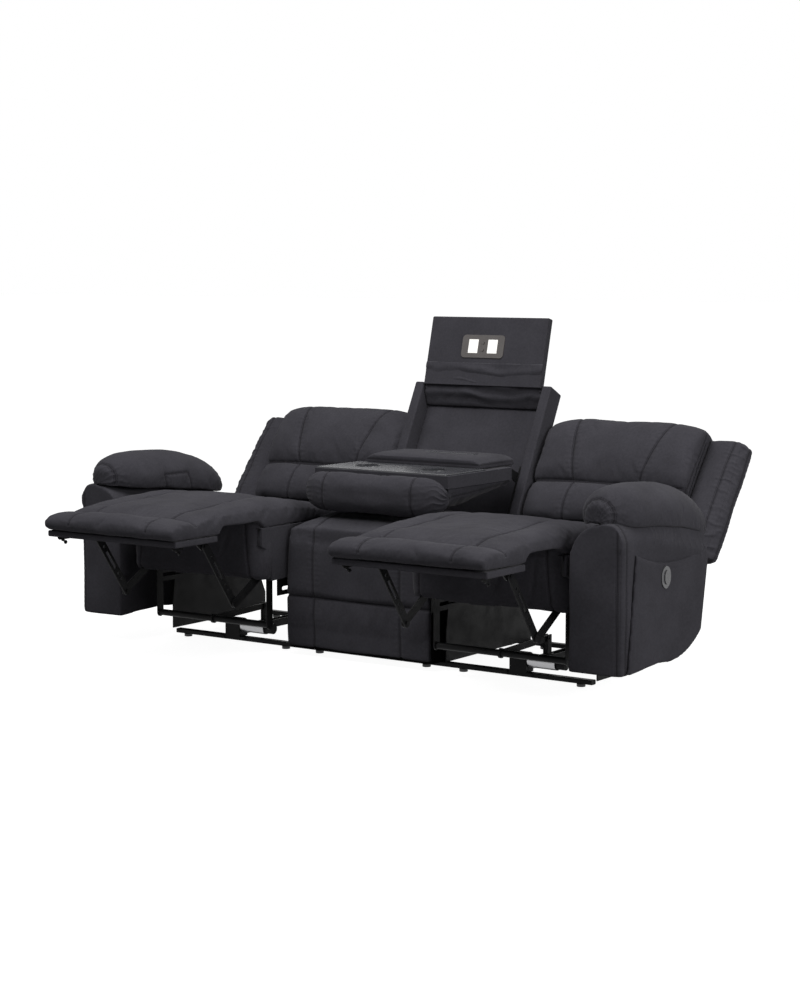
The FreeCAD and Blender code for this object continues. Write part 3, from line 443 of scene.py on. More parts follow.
def hold_and_puff(piece, held, pressure, cap):
    """Queue a piece for the cloth step; held marks the points that stay put."""
    group = piece.vertex_groups.new(name="held")
    group.add([int(i) for i in np.flatnonzero(held)], 1.0, "REPLACE")
    waiting.append((piece, pressure, cap))


def puff_all(frames=20):
    """Blow up all the waiting pieces together and keep the cloth's last shape."""
    starts = {}
    for piece, pressure, cap in waiting:
        starts[piece.name] = points_of(piece)
        cloth = piece.modifiers.new("puff", "CLOTH")
        cloth.point_cache.frame_end = frames
        settings = cloth.settings
        settings.quality = 4
        settings.mass = 0.25
        settings.tension_stiffness = 14.0
        settings.compression_stiffness = 10.0
        settings.shear_stiffness = 6.0
        settings.bending_stiffness = 1.0
        settings.shrink_min = -0.006
        settings.use_pressure = True
        settings.uniform_pressure_force = pressure
        settings.effector_weights.gravity = 0.0
        settings.vertex_group_mass = "held"
    scene = bpy.context.scene
    for number in range(1, frames + 1):
        scene.frame_set(number)
    graph = bpy.context.evaluated_depsgraph_get()
    for piece, pressure, cap in waiting:
        blown = points_of(piece.evaluated_get(graph))
        start = starts[piece.name]
        move = blown - start
        far = np.linalg.norm(move, axis=1)
        move *= np.minimum(1.0, cap / np.maximum(far, 1e-9))[:, None]
        piece.modifiers.clear()
        piece.vertex_groups.clear()
        set_points(piece, start + move)
        print(piece.name, "points", len(start), "moved up to", round(float(far.max()), 4))
    scene.frame_set(1)


# %% [markdown]
# Seams and folds are moves along the surface's normal. A seam is a narrow dip with
# small puckers beside it. Gathers are sharp pleats that fade away from an end. Soft
# undulations are a sum of long waves with fixed random directions.

# %% Seams, gathers and undulations
def sew(piece, seams, depth=0.0040, width=0.0060, pucker=0.00035):
    """Draw seams in. Each seam gives (distance across, distance along, where it runs)."""
    points, normals = points_of(piece), normals_of(piece)
    across = np.ones(len(points))
    along = np.zeros(len(points))
    for seam in seams:
        off, run, where = seam(points, normals)
        nearer = where & (np.abs(off) < np.abs(across))
        across[nearer] = off[nearer]
        along[nearer] = run[nearer]
    dip = np.exp(-(across / width) ** 2)
    beside = np.exp(-((np.abs(across) - 2.2 * width) / (2.0 * width)) ** 2)
    ripple = np.sin(along * 330.0 + 1.7 * np.sin(along * 47.0)) * beside
    set_points(piece, points - normals * (depth * dip + pucker * ripple)[:, None])
    attribute = piece.data.attributes.new("seam", "FLOAT_VECTOR", "POINT")
    places = np.column_stack([across, along, 0.0 * along]).astype(np.float32)
    attribute.data.foreach_set("vector", places.ravel())


def waves(points, seed, length, count=7):
    """A smooth field between about -1 and 1 that changes over the given length."""
    rng = np.random.default_rng(seed)
    total = np.zeros(len(points))
    for _ in range(count):
        direction = rng.normal(size=3)
        direction /= np.linalg.norm(direction)
        turn = points @ direction * (2 * math.pi / length) * rng.uniform(0.6, 1.4)
        total += np.sin(turn + rng.uniform(0, 6.3))
    return total / math.sqrt(count)


def undulate(piece, seed, length=0.11, height=0.0012):
    points = points_of(piece)
    set_points(piece, points + normals_of(piece) * (waves(points, seed, length) * height)[:, None])


def pleat(piece, turn, reach, count, depth, seed=3):
    """Sharp pleats: turn is each point's place around the gather, reach 1 at it and 0 away."""
    points = points_of(piece)
    wander = waves(points, seed, 0.09) * 1.3 + waves(points, seed + 1, 0.03) * 0.25
    ridge = 1.0 - np.abs(np.sin(turn * count / 2.0 + wander))
    fold = (ridge ** 2 - 0.35) * reach
    set_points(piece, points + normals_of(piece) * (depth * fold)[:, None])


def crease(piece, folds):
    """Single soft wrinkles: each is (start, end, width, depth) in space."""
    points, normals = points_of(piece), normals_of(piece)
    total = np.zeros(len(points))
    for start, end, width, depth in folds:
        a, b = np.array(start), np.array(end)
        run = np.clip((points - a) @ (b - a) / ((b - a) @ (b - a)), 0.0, 1.0)
        off = np.linalg.norm(points - a - run[:, None] * (b - a), axis=1)
        total -= depth * np.sin(math.pi * np.clip(run, 0.04, 0.96)) * np.exp(-(off / width) ** 2)
    set_points(piece, points + normals * total[:, None])


# %% [markdown]
# Places that the soft pieces share: the seat's and the footrest's edges, and the lean
# of the backs. The cloth step holds a narrow band along a seam.

# %% Shared places
seat_low, seat_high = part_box("right_seat_cushion")
rest_low, rest_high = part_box("right_footrest_pad")
seat_middle = (seat_low.x + seat_high.x) / 2
seat_half = (seat_high.x - seat_low.x) / 2
rest_half = (rest_high.x - rest_low.x) / 2
back_pivot = Vector((seat_middle, 0.340, 0.395))
back_lean = math.radians(36.6)
post_lean = math.radians(27.0)
seam_hold = 0.004
voxel = 0.007


def into_back(points):
    """Row-frame points turned into the upright frame of the reclined back."""
    c, s = math.cos(back_lean), math.sin(back_lean)
    y, z = points[:, 1] - back_pivot.y, points[:, 2] - back_pivot.z
    return np.column_stack([points[:, 0] - seat_middle, y * c - z * s, y * s + z * c])


def lean_back(bm):
    bmesh.ops.rotate(bm, verts=bm.verts, cent=(0, 0, 0), matrix=Matrix.Rotation(-back_lean, 3, "X"))
    bmesh.ops.translate(bm, verts=bm.verts, vec=(0, back_pivot.y, back_pivot.z))


def narrowed(values, centre, half):
    """1 in the middle of a width, falling off steeply at its two edges."""
    return 1.0 - np.abs(np.clip((values - centre) / half, -1, 1)) ** 5


# %% [markdown]
# Seat and footrest share one long cushion, sewn across above the footrest's nose and
# lengthwise in three panels. It is one piece.

# %% Long cushion
deck_top = 0.4395
nose_seam = -0.592
panel_seam = 0.165
crown_base = 0.448
edge_sink = 0.30
chaise_outline = [
    (-0.694, 0.437), (-0.712, 0.452), (-0.710, 0.474), (-0.690, 0.490), (-0.655, 0.499), (-0.620, 0.499),
    (nose_seam, 0.486), (-0.562, 0.501), (-0.520, 0.507), (-0.440, 0.512), (-0.365, 0.516), (-0.230, 0.525),
    (-0.160, 0.522), (-0.096, 0.514), (-0.020, 0.500), (0.066, 0.480), (0.190, 0.466), (0.331, 0.455),
    (0.331, deck_top), (-0.258, deck_top), (-0.285, 0.466), (-0.455, 0.466), (-0.479, 0.437)]


def taper_chaise(piece):
    points = points_of(piece)
    share = np.clip((points[:, 1] + 0.40) / 0.12, 0.0, 1.0)
    half = rest_half + (seat_half - rest_half) * share
    points[:, 0] = seat_middle + (points[:, 0] - seat_middle) * half / seat_half
    edge = narrowed(points[:, 0], seat_middle, seat_half)
    above = np.maximum(points[:, 2] - crown_base, 0.0)
    points[:, 2] -= above * (1.0 - edge) * edge_sink
    set_points(piece, points)


def chaise_cushion():
    piece = add_piece("right_chaise_cushion", outline_form(chaise_outline, seat_low.x, seat_high.x), cover)
    remesh(piece, voxel)
    taper_chaise(piece)
    relax(piece, 4)
    points = points_of(piece)
    under = points[:, 2] < deck_top + 0.0025
    web = (points[:, 2] < 0.470) & (points[:, 1] > -0.46) & (points[:, 1] < -0.27)
    rear = points[:, 1] > 0.26
    across = np.abs(points[:, 1] - nose_seam) < seam_hold
    panels = np.abs(np.abs(points[:, 0] - seat_middle) - panel_seam) < seam_hold
    top = normals_of(piece)[:, 2] > 0.3
    hold_and_puff(piece, under | web | rear | (top & (across | panels)), 4.0, 0.010)
    return piece


def chaise_seams():
    def lengthwise(side):
        def seam(points, normals):
            off = points[:, 0] - seat_middle - side * panel_seam
            return off, points[:, 1] + points[:, 2], normals[:, 2] > -0.3
        return seam

    def nose(points, normals):
        return points[:, 1] - nose_seam, points[:, 0], normals[:, 2] > 0.2

    return [lengthwise(-1), lengthwise(1), nose]


chaise = chaise_cushion()

# %% [markdown]
# The reclined back has a lumbar cushion and a head cushion with a deep crease between
# them. The head cushion rolls over the top of the back. Two upright seams lean
# outwards on their way up.

# %% Back cushion
board_face = 0.0457
shoulder_height = 0.30
side_slip, corner_slip = 0.26, 0.14
back_outline = [
    (board_face, 0.080), (0.004, 0.079), (-0.014, 0.096), (-0.024, 0.135), (-0.022, 0.180), (-0.010, 0.210),
    (0.004, 0.221), (-0.016, 0.231), (-0.034, 0.262), (-0.042, 0.320), (-0.041, 0.385), (-0.032, 0.435),
    (-0.010, 0.470), (0.026, 0.490), (0.066, 0.494), (0.104, 0.486), (0.126, 0.468), (0.131, 0.444),
    (0.1262, 0.424), (0.1225, 0.439), (0.108, 0.4525), (0.086, 0.4575), (0.058, 0.4535), (board_face, 0.446)]
head_seam = 0.221


def upright_line(height):
    """How far from the middle the back's upright seams are at this height."""
    return np.interp(height, [0.08, 0.22, 0.47], [0.125, 0.125, 0.180])


def shape_back(piece):
    """Draw the sides in and round the top corners, in the back's upright frame."""
    points = points_of(piece)
    local = into_back(points)
    edge = 1.0 - narrowed(local[:, 0], 0.0, seat_half)
    forward = np.maximum(board_face - local[:, 1], 0.0)
    upward = np.maximum(local[:, 2] - shoulder_height, 0.0)
    slip_y = forward * edge * side_slip
    slip_z = -upward * edge * corner_slip
    c, s = math.cos(back_lean), math.sin(back_lean)
    points[:, 1] += slip_y * c + slip_z * s
    points[:, 2] += -slip_y * s + slip_z * c
    set_points(piece, points)


def back_cushion():
    bm = outline_form(back_outline, seat_middle - seat_half, seat_middle + seat_half)
    lean_back(bm)
    piece = add_piece("right_back_cushion_cover", bm, cover)
    remesh(piece, voxel)
    shape_back(piece)
    relax(piece, 3)
    local = into_back(points_of(piece))
    behind = local[:, 1] > 0.040
    seam = np.abs(local[:, 2] - head_seam) < 0.005
    lines = np.abs(np.abs(local[:, 0]) - upright_line(local[:, 2])) < seam_hold
    hold_and_puff(piece, behind | seam | lines, 4.0, 0.012)
    return piece


def back_seams():
    def upright(side):
        def seam(points, normals):
            local = into_back(points)
            return local[:, 0] - side * upright_line(local[:, 2]), local[:, 2], local[:, 1] < 0.10
        return seam

    def crossing(points, normals):
        local = into_back(points)
        return local[:, 2] - head_seam, local[:, 0], local[:, 1] < 0.035

    def edge(points, normals):
        local = into_back(points)
        depth = np.interp(local[:, 2], [0.08, 0.30, 0.45], [0.024, 0.020, 0.030])
        return local[:, 1] - depth, local[:, 2], np.abs(normals[:, 0]) > 0.5

    return [upright(-1), upright(1), crossing, edge]


back = back_cushion()

# %% [markdown]
# A bolster stands beside each back and fills the space above the arm's rear end. Its
# outer edge is gathered, because a flat strip is sewn round a curve there.

# %% Back wing
wing_widening = 1.14
wing_rear_seam = 0.078
wing_front_seam = 0.098
wing_gather = 0.118


def wing_bolster():
    piece = add_piece("right_wing_bolster", solid_form("right_back_wing"), cover)
    remesh(piece, voxel)
    points = points_of(piece)
    inner_x = seat_middle + seat_half
    points[:, 0] = inner_x + (points[:, 0] - inner_x) * wing_widening
    set_points(piece, points)
    relax(piece, 8)
    local = into_back(points_of(piece))
    inner = local[:, 0] < seat_half + 0.004
    behind = local[:, 1] > 0.094
    hold_and_puff(piece, inner | behind, 5.0, 0.016)
    return piece


wing = wing_bolster()

# %% [markdown]
# The arm is a flat-sided board box under a big stuffed pillow. The pillow lies along
# the arm's top, droops over its outer side and is gathered at both ends.

# %% Arm pillow
pillow_low, pillow_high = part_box("right_arm_pillow")
pillow_middle = (pillow_low.x + pillow_high.x) / 2
pillow_half_width, pillow_half_length = 0.114, 0.318
pillow_crown, pillow_droop = 0.012, 0.050
patch_height = 0.075


def arm_pillow():
    piece = add_piece("right_pillow", solid_form("right_arm_pillow"), cover)
    remesh(piece, voxel)
    relax(piece, 4)
    points = points_of(piece)
    middle_y = (pillow_low.y + pillow_high.y) / 2 - 0.008
    wide = (points[:, 0] - pillow_middle) / (pillow_high.x - pillow_middle)
    long = (points[:, 1] - middle_y) / (pillow_high.y - middle_y)
    points[:, 0] = pillow_middle - 0.004 + pillow_half_width * wide * (1.0 - 0.22 * long ** 4)
    points[:, 1] = middle_y + pillow_half_length * long * (1.0 - 0.16 * np.minimum(np.abs(wide), 1.0) ** 2)
    droop = pillow_droop * np.abs(wide) ** 2.2 * (1.0 - 0.4 * long ** 2)
    points[:, 2] += pillow_crown * (1.0 - long ** 2) - 0.016 * long ** 2 - droop
    points[:, 2] -= 0.030 * np.clip(long, 0.0, 1.0) ** 2 * np.clip(wide, 0.0, 1.0)
    set_points(piece, points)
    under = normals_of(piece)[:, 2] < -0.75
    hold_and_puff(piece, under, 4.0, 0.014)
    return piece


pillow = arm_pillow()

# %% [markdown]
# The middle seat has a padded front whose cover runs on over the seat. The console's
# roll, soft underside and lid are stuffed pieces too.

# %% Middle seat and console pads
front_crossing = 0.203
front_panel_seam = 0.175
roll_ring = 0.178
roll_half_height = 0.0705
slice_width = 0.008
lid_edge, lid_crown = 0.0290, 0.0112


def middle_seat():
    piece = add_piece("middle_seat_cover", solid_form("middle_front_panel", "middle_seat_cushion"), cover)
    remesh(piece, voxel)
    relax(piece, 5)
    points = points_of(piece)
    front = points[:, 1] < -0.140
    low_edge = points[:, 2] < 0.10
    under = (normals_of(piece)[:, 2] < -0.7) | (normals_of(piece)[:, 1] > 0.7)
    seam = front & (np.abs(points[:, 2] - front_crossing) < seam_hold)
    hold_and_puff(piece, low_edge | under | seam, 3.0, 0.006)
    return piece


def even_roll(piece):
    """Give the roll one thickness along its length, with round ends."""
    points = points_of(piece)
    low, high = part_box("console_roll")
    middle_z = (low.z + high.z) / 2
    slices = np.round(points[:, 0] / slice_width).astype(int)
    slices -= slices.min()
    tall = np.zeros(slices.max() + 1)
    np.maximum.at(tall, slices, np.abs(points[:, 2] - middle_z))
    share = np.clip(np.abs(points[:, 0]) / high.x, 0.0, 1.0)
    target = roll_half_height * (0.30 + 0.70 * (1.0 - share ** 9))
    size = np.maximum(tall[slices], 0.010)
    points[:, 2] = middle_z + (points[:, 2] - middle_z) * target / size
    ahead = points[:, 1] - high.y
    points[:, 1] = high.y + ahead * np.minimum(1.15, target / size)
    set_points(piece, points)


def console_pads():
    roll = add_piece("console_front_roll", solid_form("console_roll"), cover)
    remesh(roll, voxel)
    even_roll(roll)
    relax(roll, 3)
    flat = normals_of(roll)[:, 1] > 0.8
    hold_and_puff(roll, flat, 4.0, 0.008)
    under = add_piece("console_underside", solid_form("console_pad"), cover)
    remesh(under, voxel)
    relax(under, 4)
    hold_and_puff(under, normals_of(under)[:, 2] > 0.8, 4.0, 0.010)
    lid = add_piece("lid_cover", solid_form("storage_lid"), cover)
    remesh(lid, 0.006)
    points = points_of(lid)
    low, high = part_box("storage_lid")
    wide = np.clip(np.abs(points[:, 0]) / high.x, 0, 1)
    long = np.clip(np.abs(points[:, 1] - (low.y + high.y) / 2) / ((high.y - low.y) / 2), 0, 1)
    crown = low.z + lid_edge + lid_crown * (1 - wide ** 8) * (1 - long ** 6)
    points[:, 2] = np.minimum(points[:, 2], crown)
    set_points(lid, points)
    relax(lid, 3)
    return roll, under, lid


middle = middle_seat()
roll, underside, lid = console_pads()

# %% [markdown]
# All the cushions are blown up together. The lid is a thin board with a flat pad, so
# it isn't blown up. A finer mesh then gives the seams and folds their points.

# %% Blow up the pads
puff_all()
for piece in [queued[0] for queued in waiting] + [lid]:
    finer(piece)

# %% [markdown]
# With the pads full, the seams are drawn in and each cover gets its own folds. The
# left side is a mirror image with its own undulations, because no two covers are
# pulled alike.

# %% Finish the end seats
sew(chaise, chaise_seams())
sew(back, back_seams(), depth=0.0045)


def wing_seams():
    def rear_edge(points, normals):
        local = into_back(points)
        return local[:, 1] - wing_rear_seam, local[:, 2], normals[:, 0] > 0.1

    def front_edge(points, normals):
        local = into_back(points)
        return local[:, 0] - seat_half - wing_front_seam, local[:, 2], local[:, 1] < 0.060

    return [rear_edge, front_edge]


sew(wing, wing_seams(), depth=0.0030)
local = into_back(points_of(wing))
reach = np.exp(-((local[:, 0] - seat_half - wing_gather) / 0.032) ** 2) * (local[:, 1] < 0.075)
pleat(wing, local[:, 2] * 130.0, reach, 1.0, 0.0040, seed=21)


def pillow_ends(piece):
    points = points_of(piece)
    middle_z = pillow_low.z + 0.055
    turn = np.arctan2(points[:, 2] - middle_z, points[:, 0] - pillow_middle)
    front = np.exp(-np.maximum(points[:, 1] - pillow_low.y, 0.0) / 0.055)
    rear = np.exp(-np.maximum(pillow_high.y - points[:, 1], 0.0) / 0.075)
    pleat(piece, turn, front, 16.0, 0.0075, seed=31)
    pleat(piece, turn, rear, 14.0, 0.0070, seed=41)


def pillow_seams():
    def front_ring(points, normals):
        bow = 0.020 * np.cos((points[:, 0] - pillow_middle) * 14.0)
        return points[:, 1] - pillow_low.y - 0.085 + bow, points[:, 0] + points[:, 2], normals[:, 2] > -0.6

    def inner_patch(place):
        def seam(points, normals):
            lean = (points[:, 2] - pillow_low.z) * 0.25
            below = points[:, 2] < pillow_low.z + patch_height
            return points[:, 1] - place + lean, points[:, 2], (normals[:, 0] < -0.3) & below
        return seam

    def patch_top(points, normals):
        between = (points[:, 1] > -0.085) & (points[:, 1] < 0.045)
        return points[:, 2] - pillow_low.z - patch_height, points[:, 1], (normals[:, 0] < -0.2) & between

    return [front_ring, inner_patch(-0.066), inner_patch(0.064), patch_top]


pillow_ends(pillow)
sew(pillow, pillow_seams(), depth=0.0030)


# %% [markdown]
# The middle seat's front is sewn across and in three panels. The roll is gathered
# where its ends close, with a ring seam before each end. The console's underside
# and lid have a seam round their edges.

# %% Finish the middle
def middle_seams():
    front_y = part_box("middle_front_panel")[0].y

    def crossing(points, normals):
        return points[:, 2] - front_crossing, points[:, 0], points[:, 1] < front_y + 0.03

    def upright(side):
        def seam(points, normals):
            seen = normals[:, 1] + normals[:, 2] * 0.2 < 0.3
            return points[:, 0] - side * front_panel_seam, points[:, 2] + points[:, 1], seen
        return seam

    return [crossing, upright(-1), upright(1)]


sew(middle, middle_seams(), depth=0.0035)
roll_low, roll_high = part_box("console_roll")
roll_middle_z = (roll_low.z + roll_high.z) / 2


def roll_folds(piece):
    points = points_of(piece)
    turn = np.arctan2(points[:, 2] - roll_middle_z, points[:, 1] - roll_high.y)
    reach = np.exp(-np.maximum(roll_high.x - np.abs(points[:, 0]), 0.0) / 0.035)
    pleat(piece, turn, reach, 22.0, 0.0050, seed=51)


def roll_seams():
    def ring(side):
        def seam(points, normals):
            seen = points[:, 1] < roll_high.y - 0.004
            return points[:, 0] - side * roll_ring, points[:, 2] - points[:, 1], seen
        return seam
    return [ring(-1), ring(1)]


roll_folds(roll)
sew(roll, roll_seams(), depth=0.0030)


def underside_seams():
    def side_seam(points, normals):
        height = 0.547 + (points[:, 1] + 0.015) * 0.05
        return points[:, 2] - height, points[:, 1], np.abs(normals[:, 0]) > 0.4
    return [side_seam]


sew(underside, underside_seams(), depth=0.0025)
local_points = points_of(underside)
reach = np.exp(-((local_points[:, 1] - roll_high.y) / 0.05) ** 2) * (np.abs(local_points[:, 0]) > 0.22)
pleat(underside, local_points[:, 2] * 80.0, reach, 1.0, 0.0035, seed=61)


def lid_seams():
    low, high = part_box("storage_lid")

    def edge(points, normals):
        return points[:, 2] - low.z - 0.014, points[:, 0] + points[:, 1], np.abs(normals[:, 2]) < 0.7
    return [edge]


sew(lid, lid_seams(), depth=0.0015, width=0.004, pucker=0.0002)
undulate(middle, 11, 0.16, 0.0014)
undulate(roll, 12, 0.12, 0.0010)
undulate(underside, 13, 0.07, 0.0016)
middle_pads = (
    (middle, "base", ("middle_front_panel", "middle_seat_cushion"), 0.7),
    (roll, "console", ("console_roll",), 0.8),
    (underside, "console", ("console_pad",), 0.5),
    (lid, "storage_lid", ("storage_lid",), 0.8))
for piece, body, stands_for, fill in middle_pads:
    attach(piece, body)
    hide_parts(*stands_for)

# %% [markdown]
# Each soft piece rides on the body that carries it. The long cushion lies on two, so
# it stays where it is and rides on neither.

# %% Mirror the end seats and attach them
pads = {
    "chaise_cushion": (chaise, None, ("seat_cushion", "footrest_pad"), 0.6),
    "back_cushion_cover": (back, "back", ("back_cushion",), 0.7),
    "wing_bolster": (wing, "back", ("back_wing",), 0.6),
    "pillow": (pillow, "base", ("arm_pillow",), 0.75),
}
for name, (right, body, stands_for, fill) in pads.items():
    left = mirror_piece(right, "left_" + name)
    for side, piece, seed in (("right", right, 71), ("left", left, 83)):
        undulate(piece, seed + len(name), 0.15, 0.0014)
        undulate(piece, seed + 2 * len(name), 0.055, 0.0004)
        if body is None:
            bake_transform(piece)
        else:
            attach(piece, body if body == "base" else side + "_" + body)
        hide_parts(*(side + "_" + node for node in stands_for))

# %% [markdown]
# Boards under tight cloth have soft, narrow edges. They start as merged copies of
# the solids, lose the lines inside their flat faces and get rounded edges.

# %% Tight covers
def tight_cover(name, node, body, radius):
    bm = solid_form(node)
    bmesh.ops.dissolve_limit(bm, angle_limit=math.radians(2.0), verts=bm.verts, edges=bm.edges)
    sharp = [e for e in bm.edges if len(e.link_faces) == 2 and e.calc_face_angle() > math.radians(28)]
    bmesh.ops.bevel(bm, geom=sharp, offset=radius, segments=3, profile=0.5, affect="EDGES", material=-1,
                    clamp_overlap=True)
    piece = add_piece(name, bm, plain_cover)
    modifier = piece.modifiers.new("corners", "WEIGHTED_NORMAL")
    modifier.keep_sharp = False
    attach(piece, body)
    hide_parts(node)
    return piece


tight_cover("post_covers", "middle_posts", "base", 0.006)
tight_cover("back_panel_cover", "middle_back_panel", "base", 0.004)
tight_cover("deck_cover", "console_deck", "console", 0.009)
for side in sides:
    tight_cover(side + "_back_cover", side + "_back_shell", side + "_back", 0.008)
    tight_cover(side + "_footrest_cover", side + "_footrest_board", side + "_footrest", 0.004)


# %% [markdown]
# The arm's cover is tight in front and full on the side, where it swells under the
# pillow in a low lobe with fine pleats. A flat raised panel is sewn on below it.

# %% Arm covers
lobe_front, lobe_rear = -0.240, 0.225
lobe_top, lobe_fall = 0.500, 0.085
lobe_swell, lobe_half_height = 0.013, 0.034
arm_corner_drop = 0.026


def arm_cover():
    piece = add_piece("right_arm_cover", solid_form("right_arm_shell"), cover)
    remesh(piece, 0.008)
    relax(piece, 3)
    finer(piece)
    low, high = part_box("right_arm_shell")

    def front_band(points, normals):
        return points[:, 1] - low.y - 0.024, points[:, 2], normals[:, 0] > 0.3

    def front_face(points, normals):
        return points[:, 0] - high.x + 0.020, points[:, 2], normals[:, 1] < -0.8

    points = points_of(piece)
    side_share = np.clip((points[:, 0] - high.x + 0.030) / 0.030, 0.0, 1.0)
    run = np.clip((points[:, 1] - lobe_front) / 0.10, 0.0, 1.0)
    run *= np.clip((lobe_rear - points[:, 1]) / 0.06, 0.0, 1.0)
    top = lobe_top - lobe_fall * np.clip((points[:, 1] + 0.20) / 0.42, 0.0, 1.0)
    swell = np.exp(-((points[:, 2] - top) / lobe_half_height) ** 2)
    points[:, 0] += lobe_swell * side_share * run * swell
    across = np.abs(points[:, 0] - (low.x + high.x) / 2) / ((high.x - low.x) / 2)
    ahead = np.clip((low.y + 0.16 - points[:, 1]) / 0.16, 0.0, 1.0) ** 0.5
    upper = np.clip((points[:, 2] - high.z + 0.16) / 0.16, 0.0, 1.0)
    points[:, 2] -= arm_corner_drop * ahead * upper * np.clip(across, 0.0, 1.0) ** 4
    set_points(piece, points)
    reach = side_share * run * np.exp(-((points[:, 2] - top - 0.02) / 0.03) ** 2)
    pleat(piece, points[:, 1] * 190.0, reach, 1.0, 0.0022, seed=95)
    sew(piece, [front_band, front_face], depth=0.0025, width=0.005, pucker=0.0003)
    return piece


def arm_side_cover():
    piece = add_piece("right_side_panel_cover", solid_form("right_arm_side_panel"), plain_cover)
    remesh(piece, 0.006)
    relax(piece, 2)
    return piece


arm = arm_cover()
side_cover = arm_side_cover()
arm_pieces = (("arm_cover", arm, "arm_shell"), ("side_panel_cover", side_cover, "arm_side_panel"))
for name, right, node in arm_pieces:
    left = mirror_piece(right, "left_" + name)
    for side, piece, seed in (("right", right, 91), ("left", left, 97)):
        if name == "arm_cover":
            undulate(piece, seed, 0.20, 0.0012)
        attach(piece, "base")
        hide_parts(side + "_" + node)

# %% [markdown]
# The footrest's upper links are pressed straps with a long slot and round holes. Their
# plain solids are copied and the holes are cut through with a boolean, which leaves
# clean edges in thin plate. Small steel hooks sit under the footrest's front corners.

# %% Pressed links and corner hooks
link_low = Vector((0.0, -0.358, 0.197))
link_high = Vector((0.0, -0.500, 0.400))
hole_shares, hole_radius = (0.22, 0.32, 0.80), 0.0045
slot_middle, slot_share, slot_width = 0.56, 0.30, 0.010
through = 0.6
hook_side = 0.246
hook_discs = ((-0.668, 0.4115, 0.0075, 0.0035), (-0.652, 0.4035, 0.0070, 0.0035),
              (-0.640, 0.3930, 0.0065, 0.0035), (-0.640, 0.3930, 0.0028, 0.012))


def cross_rod(bm, place, radius, length):
    turn = Matrix.Translation(place) @ Matrix.Rotation(math.pi / 2, 4, "Y")
    bmesh.ops.create_cone(bm, cap_ends=True, segments=24, radius1=radius, radius2=radius, depth=length,
                          matrix=turn)


def block(bm, place, size, lean=0.0):
    """A box of this size, leant back about the X axis, with its middle at the place."""
    verts = bmesh.ops.create_cube(bm, size=1.0)["verts"]
    bmesh.ops.scale(bm, verts=verts, vec=size)
    bmesh.ops.rotate(bm, verts=verts, cent=(0, 0, 0), matrix=Matrix.Rotation(lean, 3, "X"))
    bmesh.ops.translate(bm, verts=verts, vec=place)


def sign_of(side):
    return 1 if side == "right" else -1


def pressed_links(side):
    shift = Vector((sign_of(side) * seat_middle, 0.0, 0.0))
    piece = add_piece(side + "_pressed_links", solid_form(side + "_upper_links"), black_steel)
    bm = bmesh.new()
    for share in hole_shares:
        cross_rod(bm, link_low.lerp(link_high, share) + shift, hole_radius, through)
    along = link_high - link_low
    lean = math.atan2(-along.y, along.z)
    slot_size = (through, slot_width, along.length * slot_share)
    block(bm, link_low.lerp(link_high, slot_middle) + shift, slot_size, lean)
    cutter = add_piece("cutter", bm, black_steel)
    cut = piece.modifiers.new("holes", "BOOLEAN")
    cut.object = cutter
    cut.solver = "EXACT"
    apply_modifiers(piece)
    bpy.data.objects.remove(cutter)
    piece.data.shade_flat()
    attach(piece, side + "_upper_links")
    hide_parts(side + "_upper_links")


def corner_hooks(side):
    bm = bmesh.new()
    for step in (-1, 1):
        x = sign_of(side) * seat_middle + step * hook_side
        for y, z, radius, length in hook_discs:
            cross_rod(bm, Vector((x, y, z)), radius, length)
        block(bm, (x, -0.645, 0.4090), (0.0032, 0.046, 0.012))
    piece = add_piece(side + "_corner_hooks", bm, black_steel)
    piece.data.shade_flat()
    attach(piece, side + "_footrest")


for side in sides:
    pressed_links(side)
    corner_hooks(side)

# %% [markdown]
# The drive motor's can is bare metal, while the rest of the drive is black. A thin
# sleeve is turned round the can, because the solid part has one finish only.

# %% Motor sleeves
motor_y, motor_z, motor_radius = -0.060, 0.062, 0.0214
sleeve_start, sleeve_end = 0.031, 0.135


def motor_sleeve(side):
    bm = bmesh.new()
    middle_x = sign_of(side) * seat_middle + (sleeve_start + sleeve_end) / 2
    cross_rod(bm, Vector((middle_x, motor_y, motor_z)), motor_radius, sleeve_end - sleeve_start)
    ends = [e for e in bm.edges if len(e.link_faces) == 2 and e.calc_face_angle() > 1.2]
    bmesh.ops.bevel(bm, geom=ends, offset=0.003, segments=3, profile=0.5, affect="EDGES", material=-1)
    piece = add_piece(side + "_motor_sleeve", bm, motor_can)
    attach(piece, "base")


for side in sides:
    motor_sleeve(side)

# %% [markdown]
# Each end seat has a padded front that hangs from its deck behind the footrest. It is
# cloth over thin foam on the seat's box. It is drawn as a side outline with a rounded face.

# %% Seat fronts
front_board, front_face_y, front_depth = -0.222, -0.286, 0.064
corner_set_back = 0.040
front_outline = [(front_board, 0.262), (-0.268, 0.262), (-0.284, 0.280), (front_face_y, 0.340),
                 (front_face_y, 0.425), (-0.280, 0.458), (-0.258, 0.4645), (-0.240, 0.4380),
                 (front_board, 0.4380)]


